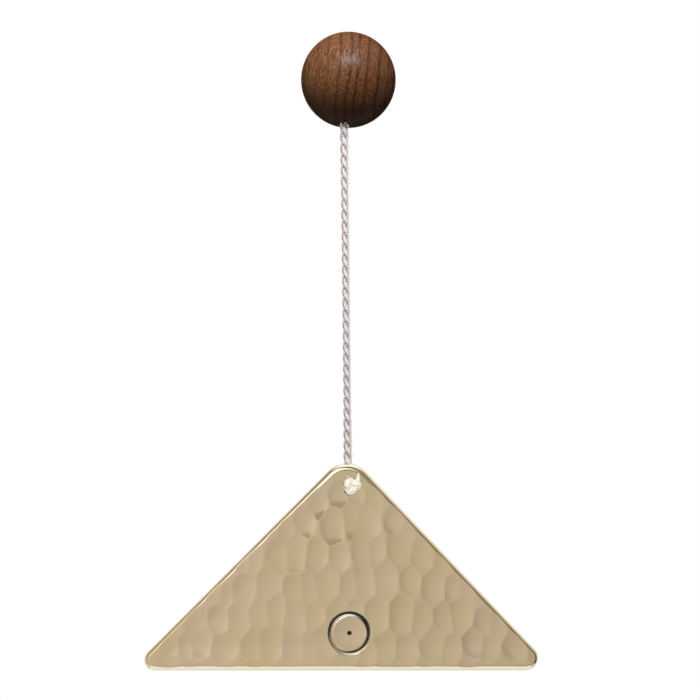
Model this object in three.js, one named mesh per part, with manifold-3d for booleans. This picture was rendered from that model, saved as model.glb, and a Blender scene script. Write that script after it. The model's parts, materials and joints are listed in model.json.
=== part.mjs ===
// Hand-held plate chime: a hammered bronze triangle hung by a braided cord from a turned wooden ball.
// The cord is knotted inside the ball, hangs down behind the triangle, comes forward through its hole and
// ends in a second knot. It is one cord, cut here into stretches at the places where it bends and twists.
// Millimetres. +Z is up, +X is to the right and the hammered face looks along -Y. The origin is the centre of
// the ball, which is what the hand holds.

import * as THREE from "three";
import { mergeVertices } from "three/addons/utils/BufferGeometryUtils.js";
import Module from "manifold-3d";

// Clearance between pieces that touch on the real object
const SEAT_GAP = 0.3;

// Facets: around turned pieces, along the ball's profile, and in each small rounding
const TURNED_FACETS = 44;
const BALL_PROFILE_STEPS = 24;
const ROUNDING_STEPS = 4;
const CORNER_STEPS = 6;

// Braided cord, and the radius of its tightest bend in cord diameters
const CORD_DIAMETER = 3.2;
const CORD_LEAST_BEND = 2;
const CORD_SIDES = 10;
const CORD_BEND_STEPS = 40;

// Overhand knots, in which the soft braid is drawn tighter than where it hangs. A strand that crosses another
// is raised by a share of its diameter that is under a half, so the two are pressed together.
const KNOT_WIDTH = 7.5;
const KNOT_STRAND_DIAMETER = 2.8;
const KNOT_CROSSING_SHARE = 0.36;
const KNOT_TAIL_DIAMETER = 1.5;
const KNOT_TAIL_LENGTH = 3.6;
const KNOT_TAIL_LEAN = 22;
const KNOT_LOBE_STEPS = 16;
const KNOT_RIGHT_OF_HOLE = 0.9;

// Wooden ball, turned in one piece, with a through bore and a wider pocket for the knot drilled from above
const BALL_DIAMETER = 40;
const BORE_CLEARANCE = 0.35;
const POCKET_CLEARANCE = 1.4;
const POCKET_DEPTH = 13;
const DRILL_POINT_ANGLE = 118;
const MOUTH_ROUNDING = 0.8;
const BALL_LEAN_FORWARD = 12;
const BALL_LEAN_LEFT = 4.7;

// Where the cord swings below the ball, and where it twists above the plate
const SWING_STAND_OFF = 1.5;
const NECK_LENGTH = 8;
const TWIST_ABOVE_PLATE = 25;

// Bronze plate, as a sharp triangle whose corners and edges are then rounded
const PLATE_LEFT_REACH = 91.4;
const PLATE_RIGHT_REACH = 87.2;
const PLATE_HEIGHT = 91.6;
const PLATE_THICKNESS = 4;
const APEX_ROUNDING = 11;
const LEFT_ROUNDING = 4.5;
const RIGHT_ROUNDING = 5.4;
const EDGE_ROUNDING = 1.9;

// Hole that the cord comes through, placed from the sharp apex. The cord bears on its back edge early in the
// cord's bend, and drifts from the hole's left side towards its middle on the way to the front.
const HOLE_CLEARANCE = 1.4;
const HOLE_BELOW_APEX = 14.6;
const HOLE_RIGHT_OF_APEX = 1.4;
const HOLE_EDGE_ROUNDING = 0.8;
const CORD_BEARING_ANGLE = 25;
const CORD_IN_LEFT_OF_HOLE = 1.1;
const CORD_OUT_LEFT_OF_HOLE = 0.3;

// Where the plate hangs: the hole's depth below the ball's centre, and the apex beside the cord's way out
const HOLE_BELOW_BALL = 171.5;
const APEX_RIGHT_OF_EXIT = 1.26;

// Hammer blows, on a staggered grid that the hand strays from
const BLOW_SPACING_X = 7.6;
const BLOW_SPACING_Z = 8.8;
const BLOW_STRAY = 3.4;
const BLOW_DEPTH = 0.34;
const HAMMER_FACE_RADIUS = 48;
const HAMMERED_MESH_STEP = 2.3;

const radians = THREE.MathUtils.degToRad;
const cordRadius = CORD_DIAMETER / 2;
const ballRadius = BALL_DIAMETER / 2;
const boreRadius = cordRadius + BORE_CLEARANCE;
const holeRadius = cordRadius + HOLE_CLEARANCE;

const bronze = new THREE.MeshStandardMaterial({ color: 0xc3ab82, metalness: 1, roughness: 0.25 });
const walnut = new THREE.MeshStandardMaterial({ color: 0x563722, metalness: 0, roughness: 0.5 });
const braid = new THREE.MeshStandardMaterial({ color: 0xd6d1cc, metalness: 0, roughness: 0.6 });

const wasm = await Module();
wasm.setup();

function solidFrom(geometry) {
  const bare = geometry.index ? geometry.toNonIndexed() : geometry.clone();
  bare.deleteAttribute("normal");
  bare.deleteAttribute("uv");
  const merged = mergeVertices(bare);
  const vertProperties = merged.attributes.position.array;
  const triVerts = new Uint32Array(merged.index.array);
  return new wasm.Manifold(new wasm.Mesh({ numProp: 3, vertProperties, triVerts }));
}

function geometryFrom(solid) {
  const { vertProperties, triVerts } = solid.getMesh();
  const geometry = new THREE.BufferGeometry();
  geometry.setAttribute("position", new THREE.BufferAttribute(vertProperties, 3));
  geometry.setIndex(new THREE.BufferAttribute(triVerts, 1));
  geometry.computeVertexNormals();
  return geometry;
}

// Joining pressed strands can leave specks of no volume in their creases, so only the largest body is kept
function largestBody(solid) {
  return solid.decompose().reduce((largest, body) => (body.volume() > largest.volume() ? body : largest));
}

function namedMesh(name, geometry, material) {
  const mesh = new THREE.Mesh(geometry, material);
  mesh.name = name;
  return mesh;
}

// Points of an arc about (x, y), as a profile for a lathe
function arcPoints(x, y, radius, fromAngle, toAngle, steps) {
  const points = [];
  for (let i = 0; i <= steps; i++) {
    const angle = fromAngle + ((toAngle - fromAngle) * i) / steps;
    points.push(new THREE.Vector2(x + radius * Math.cos(angle), y + radius * Math.sin(angle)));
  }
  return points;
}

// A solid of revolution about Z, from a profile of (radius, height)
function turned(profile, segments) {
  return new THREE.LatheGeometry(profile, segments).rotateX(Math.PI / 2);
}

// A round bar along a curve, with flat ends
function tubeAlong(curve, diameter, steps) {
  const section = new THREE.Shape().absarc(0, 0, diameter / 2, 0, 2 * Math.PI);
  const options = { steps, extrudePath: curve, curveSegments: CORD_SIDES / 2, bevelEnabled: false };
  return new THREE.ExtrudeGeometry(section, options);
}

// Overhand knot: the closed three-lobed knot curve, lying across the knot's axis, Z
const lobeScale = (KNOT_WIDTH - KNOT_STRAND_DIAMETER) / 2 / 3;
const crossingHeight = KNOT_CROSSING_SHARE * KNOT_STRAND_DIAMETER;
const knotHeight = 2 * crossingHeight + KNOT_STRAND_DIAMETER;

class KnotStretch extends THREE.Curve {
  constructor(fromTurn, toTurn) {
    super();
    this.fromTurn = fromTurn;
    this.toTurn = toTurn;
  }

  getPoint(share, target = new THREE.Vector3()) {
    const angle = 2 * Math.PI * THREE.MathUtils.lerp(this.fromTurn, this.toTurn, share);
    const across = lobeScale * (Math.sin(angle) + 2 * Math.sin(2 * angle));
    const along = lobeScale * (Math.cos(angle) - 2 * Math.cos(2 * angle));
    return target.set(across, along, -crossingHeight * Math.sin(3 * angle));
  }
}

// The knot's strands are pressed together, so its three lobes are joined into one solid with the cord that
// fills its middle and with the cut tail. The lobes meet inside that middle.
function knotGeometry(tailDirection) {
  const lobes = 3;
  const middleRadius = lobeScale + KNOT_STRAND_DIAMETER / 2;
  const tailRoot = tailDirection.clone().multiplyScalar(middleRadius / 2);
  const tailReach = KNOT_WIDTH / 2 + KNOT_TAIL_LENGTH - KNOT_STRAND_DIAMETER / 2;
  const tailTip = tailDirection.clone().multiplyScalar(tailReach);
  const tail = tubeAlong(new THREE.LineCurve3(tailRoot, tailTip), KNOT_TAIL_DIAMETER, 1);
  const middle = new THREE.SphereGeometry(middleRadius, KNOT_LOBE_STEPS, KNOT_LOBE_STEPS);
  let knot = solidFrom(middle).add(solidFrom(tail));
  for (let lobe = 0; lobe < lobes; lobe++) {
    const stretch = new KnotStretch(lobe / lobes, (lobe + 1) / lobes);
    knot = knot.add(solidFrom(tubeAlong(stretch, KNOT_STRAND_DIAMETER, KNOT_LOBE_STEPS)));
  }
  return geometryFrom(largestBody(knot));
}

// Ball handle, with its bore along Z: the cord leaves at the bottom and the knot's pocket opens at the top
const pocketRadius = KNOT_WIDTH / 2 + POCKET_CLEARANCE;
const pocketFloor = ballRadius - POCKET_DEPTH;
const drillPointSlope = 1 / Math.tan(radians(DRILL_POINT_ANGLE / 2));
const boreTop = pocketFloor - (pocketRadius - boreRadius) * drillPointSlope;

function ballGeometry() {
  const insideRounding = ballRadius - MOUTH_ROUNDING;
  const lowerX = boreRadius + MOUTH_ROUNDING;
  const lowerY = -Math.sqrt(insideRounding ** 2 - lowerX ** 2);
  const upperX = pocketRadius + MOUTH_ROUNDING;
  const upperY = Math.sqrt(insideRounding ** 2 - upperX ** 2);
  const lowerAngle = Math.atan2(lowerY, lowerX);
  const upperAngle = Math.atan2(upperY, upperX);
  const profile = [
    ...arcPoints(lowerX, lowerY, MOUTH_ROUNDING, -Math.PI, lowerAngle, ROUNDING_STEPS),
    ...arcPoints(0, 0, ballRadius, lowerAngle, upperAngle, BALL_PROFILE_STEPS).slice(1, -1),
    ...arcPoints(upperX, upperY, MOUTH_ROUNDING, upperAngle, Math.PI, ROUNDING_STEPS),
    new THREE.Vector2(pocketRadius, pocketFloor),
    new THREE.Vector2(boreRadius, boreTop),
    new THREE.Vector2(boreRadius, lowerY),
  ];
  return turned(profile, TURNED_FACETS);
}

// The knot rests on the drilled cone at the bottom of its pocket
const handleKnotSeat = boreTop + (KNOT_WIDTH / 4) * drillPointSlope;
const handleKnotHeight = handleKnotSeat + SEAT_GAP + knotHeight / 2;
const boreCordTop = handleKnotHeight - knotHeight / 2 - SEAT_GAP;
const boreCordBottom = -(ballRadius + SWING_STAND_OFF - cordRadius - SEAT_GAP);

function buildHandle() {
  const handle = new THREE.Group();
  handle.rotation.set(-radians(BALL_LEAN_FORWARD), radians(BALL_LEAN_LEFT), 0);
  handle.add(namedMesh("handle_ball", ballGeometry(), walnut));
  const knot = namedMesh("handle_knot", knotGeometry(new THREE.Vector3(0, 0, 1)), braid);
  knot.position.z = handleKnotHeight;
  handle.add(knot);
  const top = new THREE.Vector3(0, 0, boreCordTop);
  const bottom = new THREE.Vector3(0, 0, boreCordBottom);
  const boreCord = tubeAlong(new THREE.LineCurve3(top, bottom), CORD_DIAMETER, 1);
  handle.add(namedMesh("cord_in_bore", boreCord, braid));
  handle.updateMatrixWorld(true);
  return handle;
}

// Plate outline, with the sharp apex above x = 0 and the lower edge on y = 0
function plateOutline() {
  const corners = [
    { at: new THREE.Vector2(-PLATE_LEFT_REACH, 0), rounding: LEFT_ROUNDING },
    { at: new THREE.Vector2(PLATE_RIGHT_REACH, 0), rounding: RIGHT_ROUNDING },
    { at: new THREE.Vector2(0, PLATE_HEIGHT), rounding: APEX_ROUNDING },
  ];
  const outline = new THREE.Shape();
  corners.forEach(({ at, rounding }, i) => {
    const before = corners[(i + 2) % 3].at.clone().sub(at).normalize();
    const after = corners[(i + 1) % 3].at.clone().sub(at).normalize();
    const halfAngle = before.angleTo(after) / 2;
    const inward = before.clone().add(after).normalize();
    const centre = inward.multiplyScalar(rounding / Math.sin(halfAngle)).add(at);
    const fromAngle = before.angle() + Math.PI / 2;
    const toAngle = after.angle() - Math.PI / 2;
    outline.absarc(centre.x, centre.y, rounding, fromAngle, toAngle, false);
  });
  return outline.closePath();
}

// A fixed number from 0 to 1 for each blow, from the last digits of a sine, so the pattern never changes
function strayShare(column, row, axis) {
  const wave = 43758.5453 * Math.sin(column * 12.9898 + row * 78.233 + axis * 37.719);
  return wave - Math.floor(wave);
}

// How far the hammered face is sunk at a point. Each blow leaves a shallow hollow, with ridges between them.
function hammeredDepth(x, z) {
  const nearColumn = Math.round(x / BLOW_SPACING_X);
  const nearRow = Math.round(z / BLOW_SPACING_Z);
  let nearest = Infinity;
  for (let row = nearRow - 2; row <= nearRow + 2; row++) {
    for (let column = nearColumn - 2; column <= nearColumn + 2; column++) {
      const stagger = row % 2 === 0 ? 0 : 0.5;
      const strayX = (strayShare(column, row, 0) - 0.5) * BLOW_STRAY;
      const strayZ = (strayShare(column, row, 1) - 0.5) * BLOW_STRAY;
      const blowX = (column + stagger) * BLOW_SPACING_X + strayX;
      const blowZ = row * BLOW_SPACING_Z + strayZ;
      nearest = Math.min(nearest, (x - blowX) ** 2 + (z - blowZ) ** 2);
    }
  }
  return Math.max(0, BLOW_DEPTH - nearest / (2 * HAMMER_FACE_RADIUS));
}

// A block larger than the plate, whose front face is the hammered surface
function hammeredBlock() {
  const margin = PLATE_THICKNESS;
  const width = PLATE_LEFT_REACH + PLATE_RIGHT_REACH + 2 * margin;
  const height = PLATE_HEIGHT + 2 * margin;
  const columns = Math.round(width / HAMMERED_MESH_STEP);
  const rows = Math.round(height / HAMMERED_MESH_STEP);
  const depth = 2 * PLATE_THICKNESS;
  const block = new THREE.BoxGeometry(width, depth, height, columns, 1, rows);
  const middleX = (PLATE_RIGHT_REACH - PLATE_LEFT_REACH) / 2;
  block.translate(middleX, (depth - PLATE_THICKNESS) / 2, PLATE_HEIGHT / 2);
  const position = block.attributes.position;
  for (let i = 0; i < position.count; i++) {
    if (position.getY(i) < 0) {
      position.setY(i, position.getY(i) + hammeredDepth(position.getX(i), position.getZ(i)));
    }
  }
  return block;
}

// Everything that the drill and the rounding of its edges take out, along Y
function holeCutter() {
  const straight = PLATE_THICKNESS / 2 - HOLE_EDGE_ROUNDING;
  const flare = holeRadius + HOLE_EDGE_ROUNDING;
  const profile = [
    new THREE.Vector2(0, -PLATE_THICKNESS),
    new THREE.Vector2(flare, -PLATE_THICKNESS),
    ...arcPoints(flare, -straight, HOLE_EDGE_ROUNDING, -Math.PI / 2, -Math.PI, ROUNDING_STEPS),
    ...arcPoints(flare, straight, HOLE_EDGE_ROUNDING, Math.PI, Math.PI / 2, ROUNDING_STEPS),
    new THREE.Vector2(flare, PLATE_THICKNESS),
    new THREE.Vector2(0, PLATE_THICKNESS),
  ];
  const cutter = new THREE.LatheGeometry(profile, TURNED_FACETS);
  return cutter.translate(HOLE_RIGHT_OF_APEX, 0, PLATE_HEIGHT - HOLE_BELOW_APEX);
}

function plateGeometry() {
  const depth = PLATE_THICKNESS - 2 * EDGE_ROUNDING;
  const blank = new THREE.ExtrudeGeometry(plateOutline(), {
    depth,
    bevelEnabled: true,
    bevelThickness: EDGE_ROUNDING,
    bevelSize: EDGE_ROUNDING,
    bevelOffset: -EDGE_ROUNDING,
    bevelSegments: ROUNDING_STEPS,
    curveSegments: CORNER_STEPS,
  });
  blank.translate(0, 0, -depth / 2).rotateX(Math.PI / 2);
  const plate = solidFrom(blank).intersect(solidFrom(hammeredBlock())).subtract(solidFrom(holeCutter()));
  return geometryFrom(plate);
}

// The cord's route below the ball. It swings at the bore's mouth, runs straight to the plate's top edge, goes
// down the plate's back and bends forward under the rounded edge of the hole, which hangs on it.
const handle = buildHandle();
const swingPoint = handle.localToWorld(new THREE.Vector3(0, 0, -(ballRadius + SWING_STAND_OFF)));
const plateX = swingPoint.x + APEX_RIGHT_OF_EXIT;
const plateY = swingPoint.y;
const plateZ = -HOLE_BELOW_BALL - (PLATE_HEIGHT - HOLE_BELOW_APEX);
const holeX = plateX + HOLE_RIGHT_OF_APEX;
const frontY = plateY - PLATE_THICKNESS / 2;
const plateTop = plateZ + Math.max(...plateOutline().getPoints().map((point) => point.y));

const bendRadius = CORD_LEAST_BEND * CORD_DIAMETER;
const edgeToBend = bendRadius - cordRadius - SEAT_GAP - HOLE_EDGE_ROUNDING;
const edgeY = plateY + PLATE_THICKNESS / 2 - HOLE_EDGE_ROUNDING;
const edgeZ = -HOLE_BELOW_BALL + holeRadius + HOLE_EDGE_ROUNDING;
const bendY = edgeY - edgeToBend * Math.cos(radians(CORD_BEARING_ANGLE));
const bendZ = edgeZ + edgeToBend * Math.sin(radians(CORD_BEARING_ANGLE));
const bendAngle = Math.acos((frontY - bendY) / bendRadius);

// The cord's bend through the hole, from straight down at the plate's back to its front
class HoleBend extends THREE.Curve {
  getPoint(share, target = new THREE.Vector3()) {
    const angle = share * bendAngle;
    const leftOfHole = THREE.MathUtils.lerp(CORD_IN_LEFT_OF_HOLE, CORD_OUT_LEFT_OF_HOLE, share);
    const y = bendY + bendRadius * Math.cos(angle);
    const z = bendZ - bendRadius * Math.sin(angle);
    return target.set(holeX - leftOfHole, y, z);
  }
}

const holeBend = new HoleBend();
const bendTop = holeBend.getPoint(0);
const topEdgePoint = new THREE.Vector3(bendTop.x, bendTop.y, plateTop);
const cordDirection = topEdgePoint.clone().sub(swingPoint).normalize();
const sidePoint = swingPoint.clone().addScaledVector(cordDirection, NECK_LENGTH);
const twistPoint = topEdgePoint.clone().addScaledVector(cordDirection, -TWIST_ABOVE_PLATE);
const holePoint = new THREE.Vector3(holeX, plateY, -HOLE_BELOW_BALL);

// A straight stretch of cord between two points, given from a pivot
function straightCord(name, from, to, pivot) {
  const line = new THREE.LineCurve3(from.clone().sub(pivot), to.clone().sub(pivot));
  return namedMesh(name, tubeAlong(line, CORD_DIAMETER, 1), braid);
}

// The flexing stretch at the ball, rounded at both ends so that it turns in its neighbours
function cordNeck() {
  const neck = new THREE.CapsuleGeometry(cordRadius, NECK_LENGTH, ROUNDING_STEPS, CORD_SIDES);
  const mesh = namedMesh("cord_neck", neck.translate(0, NECK_LENGTH / 2, 0), braid);
  mesh.quaternion.setFromUnitVectors(new THREE.Vector3(0, 1, 0), cordDirection);
  return mesh;
}

// The last stretch, down the plate's back and forward through the hole
function cordLower() {
  const start = twistPoint.clone().addScaledVector(cordDirection, SEAT_GAP);
  const route = new THREE.CurvePath();
  route.add(new THREE.LineCurve3(start, topEdgePoint));
  route.add(new THREE.LineCurve3(topEdgePoint, bendTop));
  route.add(holeBend);
  const geometry = tubeAlong(route, CORD_DIAMETER, CORD_BEND_STEPS);
  geometry.translate(-twistPoint.x, -twistPoint.y, -twistPoint.z);
  return namedMesh("cord_lower", geometry, braid);
}

function frontKnot() {
  const lean = radians(KNOT_TAIL_LEAN);
  const tailUpRight = new THREE.Vector3(Math.sin(lean), Math.cos(lean), 0);
  const mesh = namedMesh("front_knot", knotGeometry(tailUpRight).rotateX(Math.PI / 2), braid);
  const knotY = frontY - SEAT_GAP - knotHeight / 2;
  mesh.position.set(holeX + KNOT_RIGHT_OF_HOLE, knotY, -HOLE_BELOW_BALL).sub(twistPoint);
  return mesh;
}

// Each group sits at the point about which it moves on the group that carries it
const swingFront = new THREE.Group();
swingFront.name = "swing_front";
swingFront.position.copy(swingPoint);
swingFront.add(cordNeck());

const swingSide = new THREE.Group();
swingSide.name = "swing_side";
swingSide.position.copy(sidePoint).sub(swingPoint);
const upperStart = sidePoint.clone().addScaledVector(cordDirection, cordRadius + SEAT_GAP);
swingSide.add(straightCord("cord_upper", upperStart, twistPoint, sidePoint));

const cordTwist = new THREE.Group();
cordTwist.name = "cord_twist";
cordTwist.position.copy(twistPoint).sub(sidePoint);
cordTwist.add(cordLower(), frontKnot());

const plateRock = new THREE.Group();
plateRock.name = "plate_rock";
plateRock.position.copy(holePoint).sub(twistPoint);
const plate = namedMesh("sound_plate", plateGeometry(), bronze);
plate.position.set(plateX, plateY, plateZ).sub(holePoint);
plateRock.add(plate);

cordTwist.add(plateRock);
swingSide.add(cordTwist);
swingFront.add(swingSide);

const chime = new THREE.Group();
chime.name = "plate_chime";
chime.add(handle, swingFront);

export default chime;
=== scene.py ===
import bpy
import bmesh
import json
import math
from mathutils import Matrix, Vector
from mathutils.geometry import delaunay_2d_cdt


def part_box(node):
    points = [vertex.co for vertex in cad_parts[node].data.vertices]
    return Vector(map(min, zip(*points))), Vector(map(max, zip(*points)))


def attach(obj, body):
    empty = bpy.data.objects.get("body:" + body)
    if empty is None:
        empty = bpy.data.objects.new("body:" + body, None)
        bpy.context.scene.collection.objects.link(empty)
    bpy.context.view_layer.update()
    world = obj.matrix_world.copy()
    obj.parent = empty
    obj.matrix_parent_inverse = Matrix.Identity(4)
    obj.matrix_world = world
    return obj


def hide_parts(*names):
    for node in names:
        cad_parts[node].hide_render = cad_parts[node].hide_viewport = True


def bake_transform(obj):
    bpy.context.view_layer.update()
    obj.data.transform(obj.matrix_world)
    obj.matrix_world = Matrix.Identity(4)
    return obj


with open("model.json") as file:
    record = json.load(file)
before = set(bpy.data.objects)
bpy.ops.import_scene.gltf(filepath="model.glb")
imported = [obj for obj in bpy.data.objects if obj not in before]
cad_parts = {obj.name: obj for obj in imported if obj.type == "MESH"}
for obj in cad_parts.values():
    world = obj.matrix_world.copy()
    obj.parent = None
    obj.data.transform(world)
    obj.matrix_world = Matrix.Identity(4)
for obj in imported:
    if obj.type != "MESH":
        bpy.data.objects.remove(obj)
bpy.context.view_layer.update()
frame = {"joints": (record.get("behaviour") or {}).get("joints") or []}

MM = 0.001

# Camera: level and straight in front of the hammered face, aimed at the middle of the object's height.
# It stands far enough back for the plate to look flat on.
VIEW_DISTANCE = 600 * MM
VIEW_WIDTH_AT_BALL = 295.8 * MM
VIEW_MIDDLE_X = 0.68 * MM
VIEW_MIDDLE_Z = -114.05 * MM
camera_data = bpy.data.cameras.new("front_camera")
camera_data.sensor_width = 36
camera_data.lens = camera_data.sensor_width * VIEW_DISTANCE / VIEW_WIDTH_AT_BALL
front_camera = bpy.data.objects.new("front_camera", camera_data)
front_camera.location = (VIEW_MIDDLE_X, -VIEW_DISTANCE, VIEW_MIDDLE_Z)
front_camera.rotation_euler = (math.radians(90), 0, 0)
bpy.context.scene.collection.objects.link(front_camera)
bpy.context.scene.camera = front_camera

# Cord: one soft white braid of eight yarns, four going each way round a thin core.
# It is knotted inside the ball, hangs down the plate's back and comes forward through the plate's hole.
# It is made in three stretches, because a stretch can bend or twist at one joint only.
CORD_DIAMETER = 3.2 * MM
CORD_BEND_RADIUS = 2 * CORD_DIAMETER
BORE_CORD_TOP = 6.2 * MM
MOUTH_BEND_RADIUS = 18 * MM
PLATE_EDGE_BEND_RADIUS = 40 * MM
LINE_STEP = 0.4 * MM
HOLE_CENTRE = Vector((0.8983, -4.4551, -171.5)) * MM
CORD_IN_LEFT_OF_HOLE = 1.1 * MM
CORD_OUT_LEFT_OF_HOLE = 0.8 * MM
CORD_BEHIND_PLATE_Y = -0.2084 * MM
CORD_IN_HOLE_Z = -172.536 * MM
CORD_END_IN_KNOT_Y = -7.6 * MM

pivot = {joint["name"]: Vector(joint["pos_m"]) for joint in frame["joints"]}
plate_low, plate_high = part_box("sound_plate")
mouth_pivot = pivot["swing_front"]
bore_up = -mouth_pivot.normalized()


def rounded_route(corners, bends):
    """A line through the corners, with an arc of a given radius in place of each inner corner."""
    route = [corners[0]]
    for before, corner, after, radius in zip(corners, corners[1:], corners[2:], bends):
        way_in = (corner - before).normalized()
        way_out = (after - corner).normalized()
        turn = way_in.angle(way_out)
        start = corner - way_in * (radius * math.tan(turn / 2))
        inwards = (way_out - way_in * way_in.dot(way_out)).normalized()
        steps = max(3, math.ceil(radius * turn / LINE_STEP))
        for i in range(steps + 1):
            angle = turn * i / steps
            forward = way_in * (radius * math.sin(angle))
            route.append(start + forward + inwards * (radius * (1 - math.cos(angle))))
    return route + [corners[-1]]


def evenly_spaced(route, step):
    """The same line with no two points further apart than a step."""
    spaced = [route[0]]
    for a, b in zip(route, route[1:]):
        count = max(1, math.ceil((b - a).length / step))
        spaced += [a.lerp(b, (i + 1) / count) for i in range(count)]
    return spaced


def lengths_along(line):
    """The length of a line up to each of its points."""
    lengths = [0.0]
    for a, b in zip(line, line[1:]):
        lengths.append(lengths[-1] + (b - a).length)
    return lengths


plate_edge_point = Vector((HOLE_CENTRE.x - CORD_IN_LEFT_OF_HOLE, CORD_BEHIND_PLATE_Y, plate_high.z))
hole_out_x = HOLE_CENTRE.x - CORD_OUT_LEFT_OF_HOLE
cord_corners = [
    bore_up * BORE_CORD_TOP,
    mouth_pivot,
    plate_edge_point,
    Vector(((plate_edge_point.x + hole_out_x) / 2, CORD_BEHIND_PLATE_Y, CORD_IN_HOLE_Z)),
    Vector((hole_out_x, CORD_END_IN_KNOT_Y, CORD_IN_HOLE_Z)),
]
cord_bends = [MOUTH_BEND_RADIUS, PLATE_EDGE_BEND_RADIUS, CORD_BEND_RADIUS]
cord_line = evenly_spaced(rounded_route(cord_corners, cord_bends), LINE_STEP)
cord_lengths = lengths_along(cord_line)


def linear(hex_colour):
    """An sRGB hex colour as the linear values that a shader takes."""
    shares = [int(hex_colour[i:i + 2], 16) / 255 for i in (1, 3, 5)]
    return [s / 12.92 if s <= 0.04045 else ((s + 0.055) / 1.055) ** 2.4 for s in shares] + [1]


def add_node(tree, kind, inputs=None, stops=None, **settings):
    """Adds one node with its fields and colour stops, and gives each input a value or a socket to feed it."""
    made = tree.nodes.new(kind)
    for field, value in settings.items():
        setattr(made, field, value)
    if stops:
        elements = made.color_ramp.elements
        elements.remove(elements[-1])
        elements[0].position, elements[0].color = stops[0]
        for place, colour in stops[1:]:
            elements.new(place).color = colour
    for socket, source in (inputs or {}).items():
        if isinstance(source, bpy.types.NodeSocket):
            tree.links.new(source, made.inputs[socket])
        else:
            made.inputs[socket].default_value = source
    return made


def new_material(name):
    """An empty node material and its tree."""
    material = bpy.data.materials.new(name)
    material.use_nodes = True
    material.node_tree.nodes.clear()
    return material, material.node_tree


# Bleached polyester yarn, untwisted and satin: white on top of each yarn, with soft streaks where the
# filaments lie, and painted shade down its flanks, on the yarns where they pass under and on the core. The
# filaments are too fine to show, so they are drawn at 0.15 mm, several times their width.
FILAMENT_WIDTH = 0.15 * MM
FILAMENT_RUN = 2.5 * MM


def yarn_material(name, flank, dark, light):
    """Satin yarn between two shades, with its filaments along the yarn and painted shade in a third colour
    down its flanks.
    """
    yarn, tree = new_material(name)
    yarn_map = add_node(tree, "ShaderNodeUVMap", uv_map="yarn_map")
    filament_scale = (1 / FILAMENT_RUN, 1 / FILAMENT_WIDTH, 1)
    filament_place = add_node(
        tree, "ShaderNodeVectorMath", {0: yarn_map.outputs[0], 1: filament_scale}, operation="MULTIPLY"
    )
    filaments = add_node(
        tree, "ShaderNodeTexNoise", {"Vector": filament_place.outputs[0], "Scale": 1.0, "Detail": 1.0}
    ).outputs["Fac"]
    filament_colour = add_node(
        tree, "ShaderNodeValToRGB", {"Fac": filaments}, stops=[(0.3, linear(dark)), (0.7, linear(light))]
    )
    # Painted shade: where a point stands low on its yarn (flanks, yarns passing under, the core) it takes the
    # flank colour.
    raised = add_node(tree, "ShaderNodeAttribute", attribute_name="raised").outputs["Fac"]
    flank_shade_colour = add_node(
        tree, "ShaderNodeMix", {0: raised, 6: linear(flank), 7: filament_colour.outputs[0]}, data_type="RGBA"
    ).outputs[2]
    filament_bump = add_node(
        tree, "ShaderNodeBump", {"Height": filaments, "Strength": 0.2, "Distance": 0.04 * MM}
    )
    yarn_surface = add_node(
        tree, "ShaderNodeBsdfPrincipled",
        {"Base Color": flank_shade_colour, "Roughness": 0.34, "Normal": filament_bump.outputs[0]},
    )
    add_node(tree, "ShaderNodeOutputMaterial", {"Surface": yarn_surface.outputs[0]})
    return yarn


polyester_braid = yarn_material("polyester_braid", "#c0b7b4", "#e6e0de", "#f8f5f3")

# The braid's rule: each yarn winds round the line at an even pitch, and passes over two and under two of the
# yarns that wind the other way. A yarn is a flat oval tube, closed at both ends.
YARNS = 8
YARN_SIDES = 14
YARN_GIRTH = 3 * MM
FLANK_SHARE = 0.6
SEAM_REACH = 0.0005 * MM
CORE_SIDES = 12
braid = bpy.data.node_groups.new("braid_along_line", "GeometryNodeTree")
braid.interface.new_socket("Line", in_out="INPUT", socket_type="NodeSocketGeometry")
for label in ("Start", "End", "Pitch", "Ring Radius", "Weave Height", "Yarn Half Width",
              "Yarn Half Thickness", "Core Radius", "Step"):
    braid.interface.new_socket(label, in_out="INPUT", socket_type="NodeSocketFloat")
braid.interface.new_socket("Yarn", in_out="INPUT", socket_type="NodeSocketMaterial")
braid.interface.new_socket("Braid", in_out="OUTPUT", socket_type="NodeSocketGeometry")
yarn_value = {socket.name: socket for socket in add_node(braid, "NodeGroupInput").outputs}

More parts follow.
